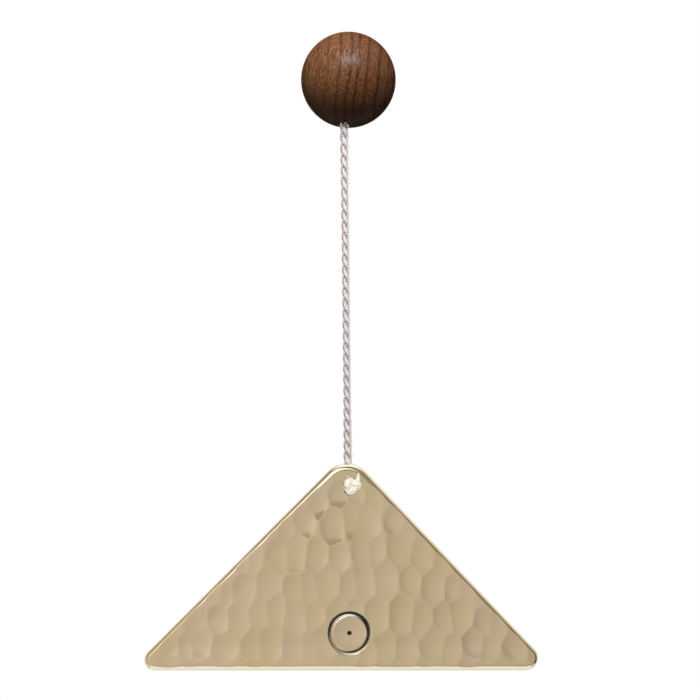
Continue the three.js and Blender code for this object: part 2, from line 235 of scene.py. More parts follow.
# Each yarn starts as a flat sheet. These steps find the yarn that a point is on, and how far along that yarn
# and how far round it the point lies.
yarn_value["number"] = add_node(
    braid, "GeometryNodeInputNamedAttribute", {"Name": "yarn_number"}, data_type="INT"
).outputs[0]
sheet_place = add_node(braid, "GeometryNodeInputPosition").outputs[0]
sheet_share = add_node(braid, "ShaderNodeSeparateXYZ", {0: sheet_place}).outputs
yarn_value["sheet_x"] = sheet_share["X"]
yarn_value["sheet_y"] = sheet_share["Y"]
for name, operation, *sources in (
    ("run", "SUBTRACT", "End", "Start"),
    ("steps", "DIVIDE", "run", "Step"),
    ("whole_steps", "CEIL", "steps"),
    ("rings", "ADD", "whole_steps", 3.0),
    ("last_ring", "ADD", "whole_steps", 2.0),
    ("last_open_ring", "ADD", "whole_steps", 1.0),
    ("odd", "MODULO", "number", 2.0),
    ("way", "MULTIPLY_ADD", "odd", -2.0, 1.0),
    ("half_number", "DIVIDE", "number", 2.0),
    ("lane", "FLOOR", "half_number"),
    ("share_along", "ADD", "sheet_x", 0.5),
    ("ring", "MULTIPLY", "share_along", "last_ring"),
    ("rings_left", "SUBTRACT", "last_ring", "ring"),
    ("rings_to_end", "MINIMUM", "ring", "rings_left"),
    ("opened", "GREATER_THAN", "rings_to_end", 0.5),
    ("share_round", "MULTIPLY", "sheet_y", math.tau),
    ("sine", "SINE", "share_round"),
    ("cosine", "COSINE", "share_round"),
    ("open_width", "MULTIPLY", "opened", "Yarn Half Width"),
    ("open_thickness", "MULTIPLY", "opened", "Yarn Half Thickness"),
    ("across", "MULTIPLY", "sine", "open_width"),
    ("outward", "MULTIPLY", "cosine", "open_thickness"),
):
    inputs = {i: yarn_value.get(source, source) for i, source in enumerate(sources)}
    yarn_value[name] = add_node(braid, "ShaderNodeMath", inputs, operation=operation).outputs[0]
yarn_value["along"] = add_node(
    braid, "ShaderNodeMapRange",
    {
        "Value": yarn_value["ring"], "From Min": 1.0, "From Max": yarn_value["last_open_ring"],
        "To Min": yarn_value["Start"], "To Max": yarn_value["End"],
    },
).outputs[0]

# These steps find where the point goes: its angle round the line, its height over it and its length along it.
for name, operation, *sources in (
    ("turns", "DIVIDE", "along", "Pitch"),
    ("turned_by", "MULTIPLY", "turns", math.tau),
    ("lane_angle", "MULTIPLY", "lane", 2 * math.tau / YARNS),
    ("yarn_angle", "MULTIPLY_ADD", "way", "turned_by", "lane_angle"),
    ("lane_shift", "MULTIPLY", "lane", math.pi),
    ("weave_shift", "MULTIPLY_ADD", "way", math.pi / 4, "lane_shift"),
    ("weave_angle", "MULTIPLY_ADD", "turned_by", YARNS / 4, "weave_shift"),
    ("weave", "COSINE", "weave_angle"),
    ("way_weave", "MULTIPLY", "weave", "way"),
    ("ring_height", "MULTIPLY_ADD", "way_weave", "Weave Height", "Ring Radius"),
    ("height", "ADD", "ring_height", "outward"),
    ("girth", "MULTIPLY", "Ring Radius", math.tau),
    ("lean", "ARCTAN2", "girth", "Pitch"),
    ("lean_cosine", "COSINE", "lean"),
    ("lean_sine", "SINE", "lean"),
    ("across_round", "MULTIPLY", "across", "lean_cosine"),
    ("across_angle", "DIVIDE", "across_round", "Ring Radius"),
    ("angle", "ADD", "yarn_angle", "across_angle"),
    ("angle_cosine", "COSINE", "angle"),
    ("angle_sine", "SINE", "angle"),
    ("across_along", "MULTIPLY", "across", "lean_sine"),
    ("way_along", "MULTIPLY", "across_along", "way"),
    ("place_along", "SUBTRACT", "along", "way_along"),
    ("most_rise", "ADD", "Weave Height", "Yarn Half Thickness"),
    ("most_height", "ADD", "Ring Radius", "most_rise"),
    ("flank_height", "MULTIPLY_ADD", "most_rise", FLANK_SHARE, "Ring Radius"),
):
    inputs = {i: yarn_value.get(source, source) for i, source in enumerate(sources)}
    yarn_value[name] = add_node(braid, "ShaderNodeMath", inputs, operation=operation).outputs[0]
line_thickness = add_node(braid, "GeometryNodeInputRadius").outputs[0]
on_line = add_node(
    braid, "GeometryNodeSampleCurve",
    {"Curves": yarn_value["Line"], "Value": line_thickness, "Length": yarn_value["place_along"]},
    mode="LENGTH", use_all_curves=True,
).outputs
yarn_value["thickness"] = on_line["Value"]
for name, operation, *sources in (
    ("scaled_height", "MULTIPLY", "height", "thickness"),
    ("reach_normal", "MULTIPLY", "angle_cosine", "scaled_height"),
    ("reach_side", "MULTIPLY", "angle_sine", "scaled_height"),
):
    inputs = {i: yarn_value.get(source, source) for i, source in enumerate(sources)}
    yarn_value[name] = add_node(braid, "ShaderNodeMath", inputs, operation=operation).outputs[0]
side = add_node(
    braid, "ShaderNodeVectorMath", {0: on_line["Tangent"], 1: on_line["Normal"]}, operation="CROSS_PRODUCT"
).outputs[0]
from_normal = add_node(
    braid, "ShaderNodeVectorMath", {0: on_line["Normal"], "Scale": yarn_value["reach_normal"]},
    operation="SCALE",
).outputs[0]
from_side = add_node(
    braid, "ShaderNodeVectorMath", {0: side, "Scale": yarn_value["reach_side"]}, operation="SCALE"
).outputs[0]
from_line = add_node(
    braid, "ShaderNodeVectorMath", {0: from_normal, 1: from_side}, operation="ADD"
).outputs[0]
yarn_place = add_node(
    braid, "ShaderNodeVectorMath", {0: on_line["Position"], 1: from_line}, operation="ADD"
).outputs[0]
# How high a point stands on its yarn, which the yarn's material reads to paint shade down the flanks and on
# the yarns passing under.
raised_share = add_node(
    braid, "ShaderNodeMapRange",
    {
        "Value": yarn_value["height"],
        "From Min": yarn_value["flank_height"],
        "From Max": yarn_value["most_height"],
    },
).outputs[0]

# The sheets are wound into yarns round a core.
sheet = add_node(
    braid, "GeometryNodeMeshGrid",
    {"Size X": 1.0, "Size Y": 1.0, "Vertices X": yarn_value["rings"], "Vertices Y": YARN_SIDES + 1},
)
map_size = add_node(braid, "ShaderNodeCombineXYZ", {0: yarn_value["run"], 1: YARN_GIRTH}).outputs[0]
map_place = add_node(
    braid, "ShaderNodeVectorMath", {0: sheet.outputs["UV Map"], 1: map_size}, operation="MULTIPLY"
)
mapped = add_node(
    braid, "GeometryNodeStoreNamedAttribute",
    {"Geometry": sheet.outputs["Mesh"], "Name": "yarn_map"},
    data_type="FLOAT2", domain="CORNER",
)
braid.links.new(map_place.outputs[0], mapped.inputs["Value"])
one_yarn = add_node(braid, "GeometryNodeGeometryToInstance", {0: mapped.outputs[0]})
all_yarns = add_node(
    braid, "GeometryNodeDuplicateElements", {"Geometry": one_yarn.outputs[0], "Amount": YARNS},
    domain="INSTANCE",
)
numbered = add_node(
    braid, "GeometryNodeStoreNamedAttribute",
    {"Geometry": all_yarns.outputs["Geometry"], "Name": "yarn_number"},
    data_type="INT", domain="INSTANCE",
)
braid.links.new(all_yarns.outputs["Duplicate Index"], numbered.inputs["Value"])
flat_yarns = add_node(braid, "GeometryNodeRealizeInstances", {"Geometry": numbered.outputs[0]})
shaded = add_node(
    braid, "GeometryNodeStoreNamedAttribute",
    {"Geometry": flat_yarns.outputs[0], "Name": "raised", "Value": raised_share},
    data_type="FLOAT", domain="POINT",
)
wound = add_node(braid, "GeometryNodeSetPosition", {"Geometry": shaded.outputs[0], "Position": yarn_place})
closed = add_node(
    braid, "GeometryNodeMergeByDistance", {"Geometry": wound.outputs[0], "Distance": SEAM_REACH}
)
core_line = add_node(
    braid, "GeometryNodeTrimCurve",
    {"Curve": yarn_value["Line"], 4: yarn_value["Start"], 5: yarn_value["End"]}, mode="LENGTH",
)
core_section = add_node(
    braid, "GeometryNodeCurvePrimitiveCircle",
    {"Resolution": CORE_SIDES, "Radius": yarn_value["Core Radius"]},
)
core = add_node(
    braid, "GeometryNodeCurveToMesh",
    {
        "Curve": core_line.outputs[0], "Profile Curve": core_section.outputs[0],
        "Scale": line_thickness, "Fill Caps": True,
    },
)
braid_parts = add_node(braid, "GeometryNodeJoinGeometry", {0: closed.outputs[0]})
braid.links.new(core.outputs[0], braid_parts.inputs[0])
smooth_parts = add_node(braid, "GeometryNodeSetShadeSmooth", {"Geometry": braid_parts.outputs[0]})
real_parts = add_node(braid, "GeometryNodeRealizeInstances", {"Geometry": smooth_parts.outputs[0]})
finished = add_node(
    braid, "GeometryNodeSetMaterial", {"Geometry": real_parts.outputs[0], "Material": yarn_value["Yarn"]}
)
add_node(braid, "NodeGroupOutput", {0: finished.outputs[0]})


def modified_mesh(host, tree, sizes):
    """Runs a node tree on an object and returns what it makes as a plain mesh, with its faces outwards."""
    modifier = host.modifiers.new("shape", "NODES")
    modifier.node_group = tree
    for item in tree.interface.items_tree:
        if item.in_out == "INPUT" and item.name in sizes:
            modifier[item.identifier] = sizes[item.name]
    bpy.context.view_layer.update()
    evaluated = host.evaluated_get(bpy.context.evaluated_depsgraph_get())
    mesh = bpy.data.meshes.new_from_object(evaluated)
    host.modifiers.remove(modifier)
    shell = bmesh.new()
    shell.from_mesh(mesh)
    bmesh.ops.recalc_face_normals(shell, faces=shell.faces)
    shell.to_mesh(mesh)
    shell.free()
    return mesh


def braided(name, line, start, end, sizes, thickness, yarn):
    """A stretch of braid along a line, between two lengths, as a piece of its own."""
    curve = bpy.data.curves.new(name + "_line", "CURVE")
    curve.dimensions = "3D"
    spline = curve.splines.new("POLY")
    spline.points.add(len(line) - 1)
    for i, (point, spot) in enumerate(zip(spline.points, line)):
        point.co = (*spot, 1)
        point.radius = thickness[i]
    host = bpy.data.objects.new(name + "_line", curve)
    bpy.context.scene.collection.objects.link(host)
    mesh = modified_mesh(host, braid, {**sizes, "Start": start, "End": end, "Yarn": yarn})
    bpy.data.objects.remove(host)
    mesh.name = name
    piece = bpy.data.objects.new(name, mesh)
    bpy.context.scene.collection.objects.link(piece)
    return piece


cord_braid = {
    "Pitch": 18.5 * MM,
    "Ring Radius": 0.93 * MM,
    "Weave Height": 0.27 * MM,
    "Yarn Half Width": 0.62 * MM,
    "Yarn Half Thickness": 0.48 * MM,
    "Core Radius": 0.7 * MM,
    "Step": 0.36 * MM,
}
NECK_END = 4 * MM
UPPER_END = 40 * MM
FULL_CORD_RUN = 26 * MM
MOUTH_FULLNESS = 0.13
PLATE_FULLNESS = 0.17


def length_at(spot):
    """The length along the cord at the point of its line that is nearest to a place."""
    nearest = min(range(len(cord_line)), key=lambda i: (cord_line[i] - spot).length)
    return cord_lengths[nearest]


mouth_length = length_at(mouth_pivot)
plate_edge_length = length_at(plate_edge_point)
neck_end = mouth_length + NECK_END
upper_end = neck_end + UPPER_END
cord_end = cord_lengths[-1]


def cord_share(length):
    """The cord's thickness as a share: a little fuller at the ball's mouth and at the plate's edge."""
    from_mouth = abs(length - mouth_length) / FULL_CORD_RUN
    from_plate = abs(length - plate_edge_length) / FULL_CORD_RUN
    return 1 + MOUTH_FULLNESS * max(0, 1 - from_mouth) + PLATE_FULLNESS * max(0, 1 - from_plate)


cord_thickness = [cord_share(length) for length in cord_lengths]
mouth_cord = braided("mouth_cord", cord_line, 0.0, neck_end, cord_braid, cord_thickness, polyester_braid)
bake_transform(mouth_cord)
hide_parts("cord_in_bore", "cord_neck")

upper_cord = braided(
    "upper_cord", cord_line, neck_end, upper_end, cord_braid, cord_thickness, polyester_braid
)
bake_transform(upper_cord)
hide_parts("cord_upper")

lower_cord = braided(
    "lower_cord", cord_line, upper_end, cord_end, cord_braid, cord_thickness, polyester_braid
)
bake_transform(lower_cord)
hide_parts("cord_lower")

# Knots: the same braid tied in an overhand knot at each end and pulled tight, so its strands press together.
# The front one stops the cord on the hammered face and ends in a short cut tail. The other sits in the
# ball's pocket, and turns with the ball, which leans a little on the cord.
KNOT_LOBE_REACH = 0.82 * MM
KNOT_STRAND_RISE = 0.85 * MM
KNOT_LINE_POINTS = 160
FRONT_KNOT_CENTRE = Vector((1.55, -9.163, -170.6)) * MM
FRONT_KNOT_TURN = math.radians(22)
HANDLE_KNOT_HEIGHT = 8.91 * MM
BALL_LEAN_BACK = math.radians(12)
BALL_LEAN_RIGHT = math.radians(4.7)
knot_braid = {
    "Pitch": 11 * MM,
    "Ring Radius": 1.22 * MM,
    "Weave Height": 0.12 * MM,
    "Yarn Half Width": 0.84 * MM,
    "Yarn Half Thickness": 0.28 * MM,
    "Core Radius": 1.28 * MM,
    "Step": 0.3 * MM,
}


def knot_line(centre, right, up, out):
    """The closed path of a cord in a tight overhand knot, from its lowest place and back to it."""
    line = []
    for i in range(KNOT_LINE_POINTS + 1):
        angle = math.pi / 6 + math.tau * i / KNOT_LINE_POINTS
        across = KNOT_LOBE_REACH * (math.sin(angle) + 2 * math.sin(2 * angle))
        along = KNOT_LOBE_REACH * (math.cos(angle) - 2 * math.cos(2 * angle))
        rise = -KNOT_STRAND_RISE * math.sin(3 * angle)
        line.append(centre + right * across + up * along + out * rise)
    return line


# The same yarn, pulled tight and waxed where it is knotted: creamier and smoother than the loose braid, with
# a lighter painted shade down its flanks.
waxed_braid = yarn_material("waxed_braid", "#e4ddca", "#f4eedd", "#fbf7e8")
handle_turn = Matrix.Rotation(-BALL_LEAN_BACK, 3, "X") @ Matrix.Rotation(BALL_LEAN_RIGHT, 3, "Y")
front_knot_turn = Matrix.Rotation(FRONT_KNOT_TURN, 3, "Y")
front_knot_line = knot_line(
    FRONT_KNOT_CENTRE,
    front_knot_turn @ Vector((1, 0, 0)),
    front_knot_turn @ Vector((0, 0, 1)),
    Vector((0, -1, 0)),
)
even_thickness = [1.0] * len(front_knot_line)
front_knot_end = lengths_along(front_knot_line)[-1]
front_knot = braided(
    "front_knot_braid", front_knot_line, 0.0, front_knot_end, knot_braid, even_thickness, waxed_braid
)
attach(front_knot, "cord_lower")
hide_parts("front_knot")

TAIL_ROOT = Vector((3.75, -9.7, -169.0)) * MM
TAIL_TIP = Vector((4.25, -9.1, -165.3)) * MM
TAIL_ROOT_SHARE = 0.8
TAIL_TIP_SHARE = 0.22
TAIL_POINTS = 12
tail_shares = [i / TAIL_POINTS for i in range(TAIL_POINTS + 1)]
tail_line = [TAIL_ROOT.lerp(TAIL_TIP, share) for share in tail_shares]
tail_thickness = [TAIL_ROOT_SHARE + (TAIL_TIP_SHARE - TAIL_ROOT_SHARE) * share for share in tail_shares]
tail_end = lengths_along(tail_line)[-1]
front_tail = braided("front_knot_tail", tail_line, 0.0, tail_end, knot_braid, tail_thickness, waxed_braid)
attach(front_tail, "cord_lower")

handle_knot_line = knot_line(
    bore_up * HANDLE_KNOT_HEIGHT, handle_turn @ Vector((1, 0, 0)), handle_turn @ Vector((0, 1, 0)), bore_up
)
handle_knot_end = lengths_along(handle_knot_line)[-1]
handle_knot = braided(
    "handle_knot_braid", handle_knot_line, 0.0, handle_knot_end, knot_braid, even_thickness, waxed_braid
)
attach(handle_knot, "handle")
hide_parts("handle_knot")

# Ball handle: one ball of walnut, turned on a lathe, bored through for the cord and drilled wider from above
# for its knot. The edges of both holes are eased, and the surface is oiled.
BALL_RADIUS = 20 * MM
BORE_RADIUS = 1.95 * MM
POCKET_RADIUS = 5.15 * MM
POCKET_FLOOR = 7 * MM
DRILL_POINT_ANGLE = math.radians(118)
MOUTH_ROUNDING = 0.8 * MM
BALL_RINGS = 96
BALL_SEGMENTS = 128
MOUTH_STEPS = 8
BORE_STEPS = 12
SHARP_EDGE = math.radians(35)


def arc(centre, radius, start, end, steps):
    """Points of an arc in a turned profile, as (distance from the axis, height)."""
    angles = [start + (end - start) * i / steps for i in range(steps + 1)]
    return [(centre[0] + radius * math.cos(a), centre[1] + radius * math.sin(a)) for a in angles]


easing_reach = BALL_RADIUS - MOUTH_ROUNDING
pocket_side = POCKET_RADIUS + MOUTH_ROUNDING
bore_side = BORE_RADIUS + MOUTH_ROUNDING
pocket_easing = (pocket_side, math.sqrt(easing_reach ** 2 - pocket_side ** 2))
bore_easing = (bore_side, -math.sqrt(easing_reach ** 2 - bore_side ** 2))
pocket_angle = math.atan2(pocket_easing[1], pocket_easing[0])
bore_angle = math.atan2(bore_easing[1], bore_easing[0])
bore_top = POCKET_FLOOR - (POCKET_RADIUS - BORE_RADIUS) / math.tan(DRILL_POINT_ANGLE / 2)
ball_profile = arc(pocket_easing, MOUTH_ROUNDING, math.pi, pocket_angle, MOUTH_STEPS)
ball_profile += arc((0, 0), BALL_RADIUS, pocket_angle, bore_angle, BALL_RINGS)[1:]
ball_profile += arc(bore_easing, MOUTH_ROUNDING, bore_angle, -math.pi, MOUTH_STEPS)[1:]
bore_rise = bore_top - bore_easing[1]
ball_profile += [(BORE_RADIUS, bore_easing[1] + bore_rise * (i + 1) / BORE_STEPS) for i in range(BORE_STEPS)]
ball_profile += [(POCKET_RADIUS, POCKET_FLOOR)]

ball_shape = bmesh.new()
ball_rings = []
for distance, height in ball_profile:
    turned_ring = []
    for i in range(BALL_SEGMENTS):
        bearing = math.tau * i / BALL_SEGMENTS
        spot = Vector((distance * math.cos(bearing), distance * math.sin(bearing), height))
        turned_ring.append(ball_shape.verts.new(handle_turn @ spot))
    ball_rings.append(turned_ring)
for upper, lower in zip(ball_rings, ball_rings[1:] + ball_rings[:1]):
    for i in range(BALL_SEGMENTS):
        j = (i + 1) % BALL_SEGMENTS
        ball_shape.faces.new((upper[i], lower[i], lower[j], upper[j])).smooth = True
bmesh.ops.recalc_face_normals(ball_shape, faces=ball_shape.faces)
ball_mesh = bpy.data.meshes.new("walnut_ball")
ball_shape.to_mesh(ball_mesh)
ball_shape.free()
ball_mesh.set_sharp_from_angle(angle=SHARP_EDGE)
walnut_ball = bpy.data.objects.new("walnut_ball", ball_mesh)
bpy.context.scene.collection.objects.link(walnut_ball)

# Walnut, turned fine and oiled: brown growth rings, cut lengthwise, with a darker line at the end of each,
# short dark pores along the grain, and a soft sheen that the pores break up. Pores are drawn at about twice
# their width, and fibres in bundles of 0.45 mm, because single ones are too fine to show.
PITH_PLACE = (89 * MM, -4 * MM, 0)
GROWTH_SPAN = 22 * MM
GROWTH_LINE_WIDTH = 0.55 * MM
GROWTH_LINES = [
    (-18.2, 0.4), (-13.5, 0.4), (-9.5, 0.5), (-4.4, 0.9), (-0.4, 1.0), (2.9, 1.0), (7.0, 0.9), (11.6, 1.0),
    (15.7, 0.8), (19.0, 0.8),
]
INNER_WOOD = 84 * MM
OUTER_WOOD = 106 * MM
WANDER_WIDTH = 11 * MM
WANDER_RUN = 70 * MM
WANDER_REACH = 3 * MM
LINE_PATCH_WIDTH = 2.5 * MM
LINE_PATCH_RUN = 12 * MM
FIBRE_WIDTH = 0.45 * MM
FIBRE_RUN = 8 * MM
PORE_SPACING = 0.52 * MM
PORE_RUN = 2.8 * MM
oiled_walnut, tree = new_material("oiled_walnut")
object_place = add_node(tree, "ShaderNodeTexCoord").outputs["Object"]
along_grain = add_node(
    tree, "ShaderNodeMapping",
    {"Vector": object_place, "Rotation": handle_turn.transposed().to_euler("XYZ")},
).outputs[0]
grain = {}
for name, width, run, detail in (
    ("wander", WANDER_WIDTH, WANDER_RUN, 2.0),
    ("line_patches", LINE_PATCH_WIDTH, LINE_PATCH_RUN, 1.0),
    ("fibres", FIBRE_WIDTH, FIBRE_RUN, 3.0),
):
    grain_place = add_node(
        tree, "ShaderNodeVectorMath", {0: along_grain, 1: (1 / width, 1 / width, 1 / run)},
        operation="MULTIPLY",
    ).outputs[0]
    grain[name] = add_node(
        tree, "ShaderNodeTexNoise", {"Vector": grain_place, "Scale": 1.0, "Detail": detail}
    ).outputs["Fac"]
from_pith = add_node(
    tree, "ShaderNodeVectorMath", {0: along_grain, 1: PITH_PLACE}, operation="SUBTRACT"
).outputs[0]
across_grain = add_node(
    tree, "ShaderNodeVectorMath", {0: from_pith, 1: (1, 1, 0)}, operation="MULTIPLY"
).outputs[0]
pith_distance = add_node(tree, "ShaderNodeVectorMath", {0: across_grain}, operation="LENGTH").outputs["Value"]
strayed_distance = add_node(
    tree, "ShaderNodeMath", {0: grain["wander"], 1: WANDER_REACH, 2: pith_distance}, operation="MULTIPLY_ADD"
).outputs[0]
growth_place = add_node(
    tree, "ShaderNodeMapRange",
    {
        "Value": strayed_distance,
        "From Min": PITH_PLACE[0] + GROWTH_SPAN + WANDER_REACH / 2,
        "From Max": PITH_PLACE[0] - GROWTH_SPAN + WANDER_REACH / 2,
    },
).outputs[0]
growth_stops = []
for line_at, strength in GROWTH_LINES:
    middle = (line_at * MM + GROWTH_SPAN) / (2 * GROWTH_SPAN)
    reach = GROWTH_LINE_WIDTH / (2 * GROWTH_SPAN)
    full_line = [strength] * 3 + [1]
    growth_stops += [(middle - reach, (0, 0, 0, 1)), (middle, full_line), (middle + 2 * reach, (0, 0, 0, 1))]
growth_lines = add_node(tree, "ShaderNodeValToRGB", {"Fac": growth_place}, stops=growth_stops).outputs[0]
line_strength = add_node(
    tree, "ShaderNodeMapRange",
    {"Value": grain["line_patches"], "From Min": 0.3, "From Max": 0.65, "To Min": 0.6},
).outputs[0]
line_share = add_node(
    tree, "ShaderNodeMath", {0: growth_lines, 1: line_strength}, operation="MULTIPLY"
).outputs[0]
ring_colour = add_node(
    tree, "ShaderNodeMix", {0: line_share, 6: linear("#b47c50"), 7: linear("#3f261a")}, data_type="RGBA"
).outputs[2]
outer_wood = add_node(
    tree, "ShaderNodeMapRange", {"Value": pith_distance, "From Min": INNER_WOOD, "From Max": OUTER_WOOD}
).outputs[0]
fibre_tone = add_node(
    tree, "ShaderNodeValToRGB", {"Fac": grain["fibres"]},
    stops=[(0.34, linear("#8d837c")), (0.5, linear("#cfc8c3")), (0.66, linear("#ffffff"))],
).outputs[0]
streaked = add_node(
    tree, "ShaderNodeMix", {0: 1.0, 6: ring_colour, 7: fibre_tone}, data_type="RGBA", blend_type="MULTIPLY"
).outputs[2]
wood_drift = add_node(
    tree, "ShaderNodeValToRGB", {"Fac": outer_wood},
    stops=[(0.0, linear("#ddd1cb")), (1.0, linear("#ffffff"))],
).outputs[0]
drifted = add_node(
    tree, "ShaderNodeMix", {0: 1.0, 6: streaked, 7: wood_drift}, data_type="RGBA", blend_type="MULTIPLY"
).outputs[2]
pore_place = add_node(
    tree, "ShaderNodeVectorMath", {0: along_grain, 1: (1 / PORE_SPACING, 1 / PORE_SPACING, 1 / PORE_RUN)},
    operation="MULTIPLY",
).outputs[0]
pores = add_node(tree, "ShaderNodeTexVoronoi", {"Vector": pore_place, "Scale": 1.0}).outputs["Distance"]
pore_edge = add_node(
    tree, "ShaderNodeMapRange", {"Value": pores, "From Min": 0.16, "From Max": 0.36}
).outputs[0]
pored = add_node(
    tree, "ShaderNodeMix", {0: pore_edge, 6: linear("#452b1c"), 7: drifted}, data_type="RGBA"
).outputs[2]
pore_bump = add_node(
    tree, "ShaderNodeBump", {"Height": pore_edge, "Strength": 0.6, "Distance": 0.25 * MM}
).outputs[0]
fibre_bump = add_node(
    tree, "ShaderNodeBump",
    {"Height": grain["fibres"], "Strength": 0.5, "Distance": 0.1 * MM, "Normal": pore_bump},
).outputs[0]
wood_surface = add_node(
    tree, "ShaderNodeBsdfPrincipled",
    {"Base Color": pored, "Roughness": 0.37, "IOR": 1.47, "Specular IOR Level": 0.1, "Normal": fibre_bump},
)
add_node(tree, "ShaderNodeOutputMaterial", {"Surface": wood_surface.outputs[0]})
ball_mesh.materials.append(oiled_walnut)
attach(walnut_ball, "handle")
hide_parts("handle_ball")

# Sound plate: a cast bronze triangle with rounded corners and edges, one eased hole near the apex, a flat
# back and a face that is hammered all over. A ring with a centre dot is punched into the face afterwards.
# It hangs on the cord, which goes through the hole to the front knot.
PLATE_CORNERS = [
    (Vector((-0.5017, -156.9)) * MM, 11 * MM),
    (Vector((-91.9017, -248.5)) * MM, 4.5 * MM),
    (Vector((86.6983, -248.5)) * MM, 5.4 * MM),
]
PLATE_FRONT_Y = -6.4551 * MM
PLATE_BACK_Y = -2.4551 * MM
EDGE_ROUNDING = 1.9 * MM
SIDE_EDGE_WIDTH = 2 * MM
APEX_EDGE_WIDTH = 2.9 * MM
APEX_EDGE_HEIGHT = 16 * MM
BOTTOM_EDGE_WIDTH = 3.2 * MM
HOLE_RADIUS = 3 * MM
HOLE_EASING = 0.8 * MM
OUTLINE_STEP = 0.5 * MM
CORNER_POINTS = 30
EDGE_RINGS = 16
EASING_RINGS = 6
HOLE_POINTS = 72
FACE_STEP = 0.42 * MM
FACE_MARGIN = 0.6 * FACE_STEP
BACK_STEP = 5 * MM
BACK_MARGIN = 0.4 * BACK_STEP
INSIDE_ONLY = 1
SAME_PLACE = 1e-7
HAMMER_FADE = 8 * MM
EDGE_SPARED = 0.24 * MM
APEX_SPARED = 0.3 * MM
APEX_SPARED_REACH = 1.3
STAMP_CENTRE = Vector((0.47, -232.45)) * MM
STAMP_RADIUS = 8.2 * MM
STAMP_LIP_WIDTH = 2.6 * MM
STAMP_LIP_DEPTH = 0.05 * MM
STAMP_GROOVE_WIDTH = 1.8 * MM
STAMP_GROOVE_DEPTH = 0.3 * MM
STAMP_DOT_RADIUS = 1.0 * MM
STAMP_DOT_DEPTH = 0.7 * MM

plate_sides = []
plate_arcs = []
for i, (corner, rounding) in enumerate(PLATE_CORNERS):
    to_before = (PLATE_CORNERS[i - 1][0] - corner).normalized()
    to_after = (PLATE_CORNERS[(i + 1) % 3][0] - corner).normalized()
    half_angle = to_before.angle(to_after) / 2
    arc_centre = corner + (to_before + to_after).normalized() * (rounding / math.sin(half_angle))
    plate_sides.append((corner, Vector((to_after.y, -to_after.x))))
    plate_arcs.append((arc_centre, rounding, math.atan2(to_before.x, -to_before.y), math.pi - 2 * half_angle))


def nearest_edge(spot):
    """How far a place on the plate lies inside the outline, and which way is out there."""
    for centre, rounding, first, sweep in plate_arcs:
        from_centre = spot - centre
        bearing = (math.atan2(from_centre.y, from_centre.x) - first) % math.tau
        if bearing <= sweep:
            return rounding - from_centre.length, from_centre.normalized()
    inside_sides = [((corner - spot).dot(outward), outward) for corner, outward in plate_sides]
    return min(inside_sides, key=lambda side: side[0])


outline = []
for i, (centre, rounding, first, sweep) in enumerate(plate_arcs):
    for j in range(CORNER_POINTS + 1):
        bearing = first + sweep * j / CORNER_POINTS
        outward = Vector((math.cos(bearing), math.sin(bearing)))
        outline.append((centre + outward * rounding, outward))
    side_start, outward = outline[-1]
    next_centre, next_rounding = plate_arcs[(i + 1) % 3][:2]
    side_end = next_centre + outward * next_rounding
    count = math.ceil((side_end - side_start).length / OUTLINE_STEP)
    outline += [(side_start.lerp(side_end, j / count), outward) for j in range(1, count)]
apex_top = max(spot.y for spot, outward in outline)


def eased(share):
    """A share kept between 0 and 1, with a soft start and a soft end."""
    kept = min(1, max(0, share))
    return kept * kept * (3 - 2 * kept)


def edge_width(spot, outward):
    """The width of the rounded edge on the face: a little more round the apex and along the bottom."""
    near_apex = eased((spot.y - apex_top + APEX_EDGE_HEIGHT) / APEX_EDGE_HEIGHT)
    apex_extra = (APEX_EDGE_WIDTH - SIDE_EDGE_WIDTH) * near_apex
    bottom_extra = (BOTTOM_EDGE_WIDTH - SIDE_EDGE_WIDTH) * max(0, -outward.y) ** 4
    return SIDE_EDGE_WIDTH + apex_extra + bottom_extra


def on_outline(inset_share, depth):
    """One ring of the plate's edge: the outline moved in by a share of the edge's width, at a depth."""
    ring = []
    for spot, outward in outline:
        inner = spot - outward * (edge_width(spot, outward) * inset_share)
        ring.append(Vector((inner.x, depth, inner.y)))
    return ring


def on_hole(easing_share, depth):
    """One ring of the hole's wall: the hole widened by a share of its easing, at a depth."""
    radius = HOLE_RADIUS + HOLE_EASING * easing_share
    ring = []
    for i in range(HOLE_POINTS):
        bearing = math.tau * i / HOLE_POINTS
        across = Vector((radius * math.cos(bearing), depth - HOLE_CENTRE.y, radius * math.sin(bearing)))
        ring.append(HOLE_CENTRE + across)
    return ring


plate = bmesh.new()
spared = plate.verts.layers.float.new("spared")


def spared_depth(spot):
    """How much shallower the blows are at a place: a little along the edge, and most at the apex."""
    struck = 1
    for corner, outward in plate_sides:
        distance = (corner - spot).dot(outward) - edge_width(spot, outward)
        struck *= eased(distance / HAMMER_FADE)
    near_apex = min(1, max(0, APEX_SPARED_REACH - (apex_top - spot.y) / APEX_EDGE_HEIGHT))
    return (1 - struck) * EDGE_SPARED + near_apex * near_apex * APEX_SPARED


def add_ring(spots):
    """Adds one ring of points to the plate, each marked with how far the blows spare it."""
    ring = []
    for spot in spots:
        made = plate.verts.new(spot)
        made[spared] = spared_depth(Vector((spot.x, spot.z)))
        ring.append(made)
    return ring


def join_rings(rings):
    """Closes the bands between rings that follow each other."""
    for one, other in zip(rings, rings[1:]):
        for i in range(len(one)):
            plate.faces.new((one[i - 1], one[i], other[i], other[i - 1])).smooth = True


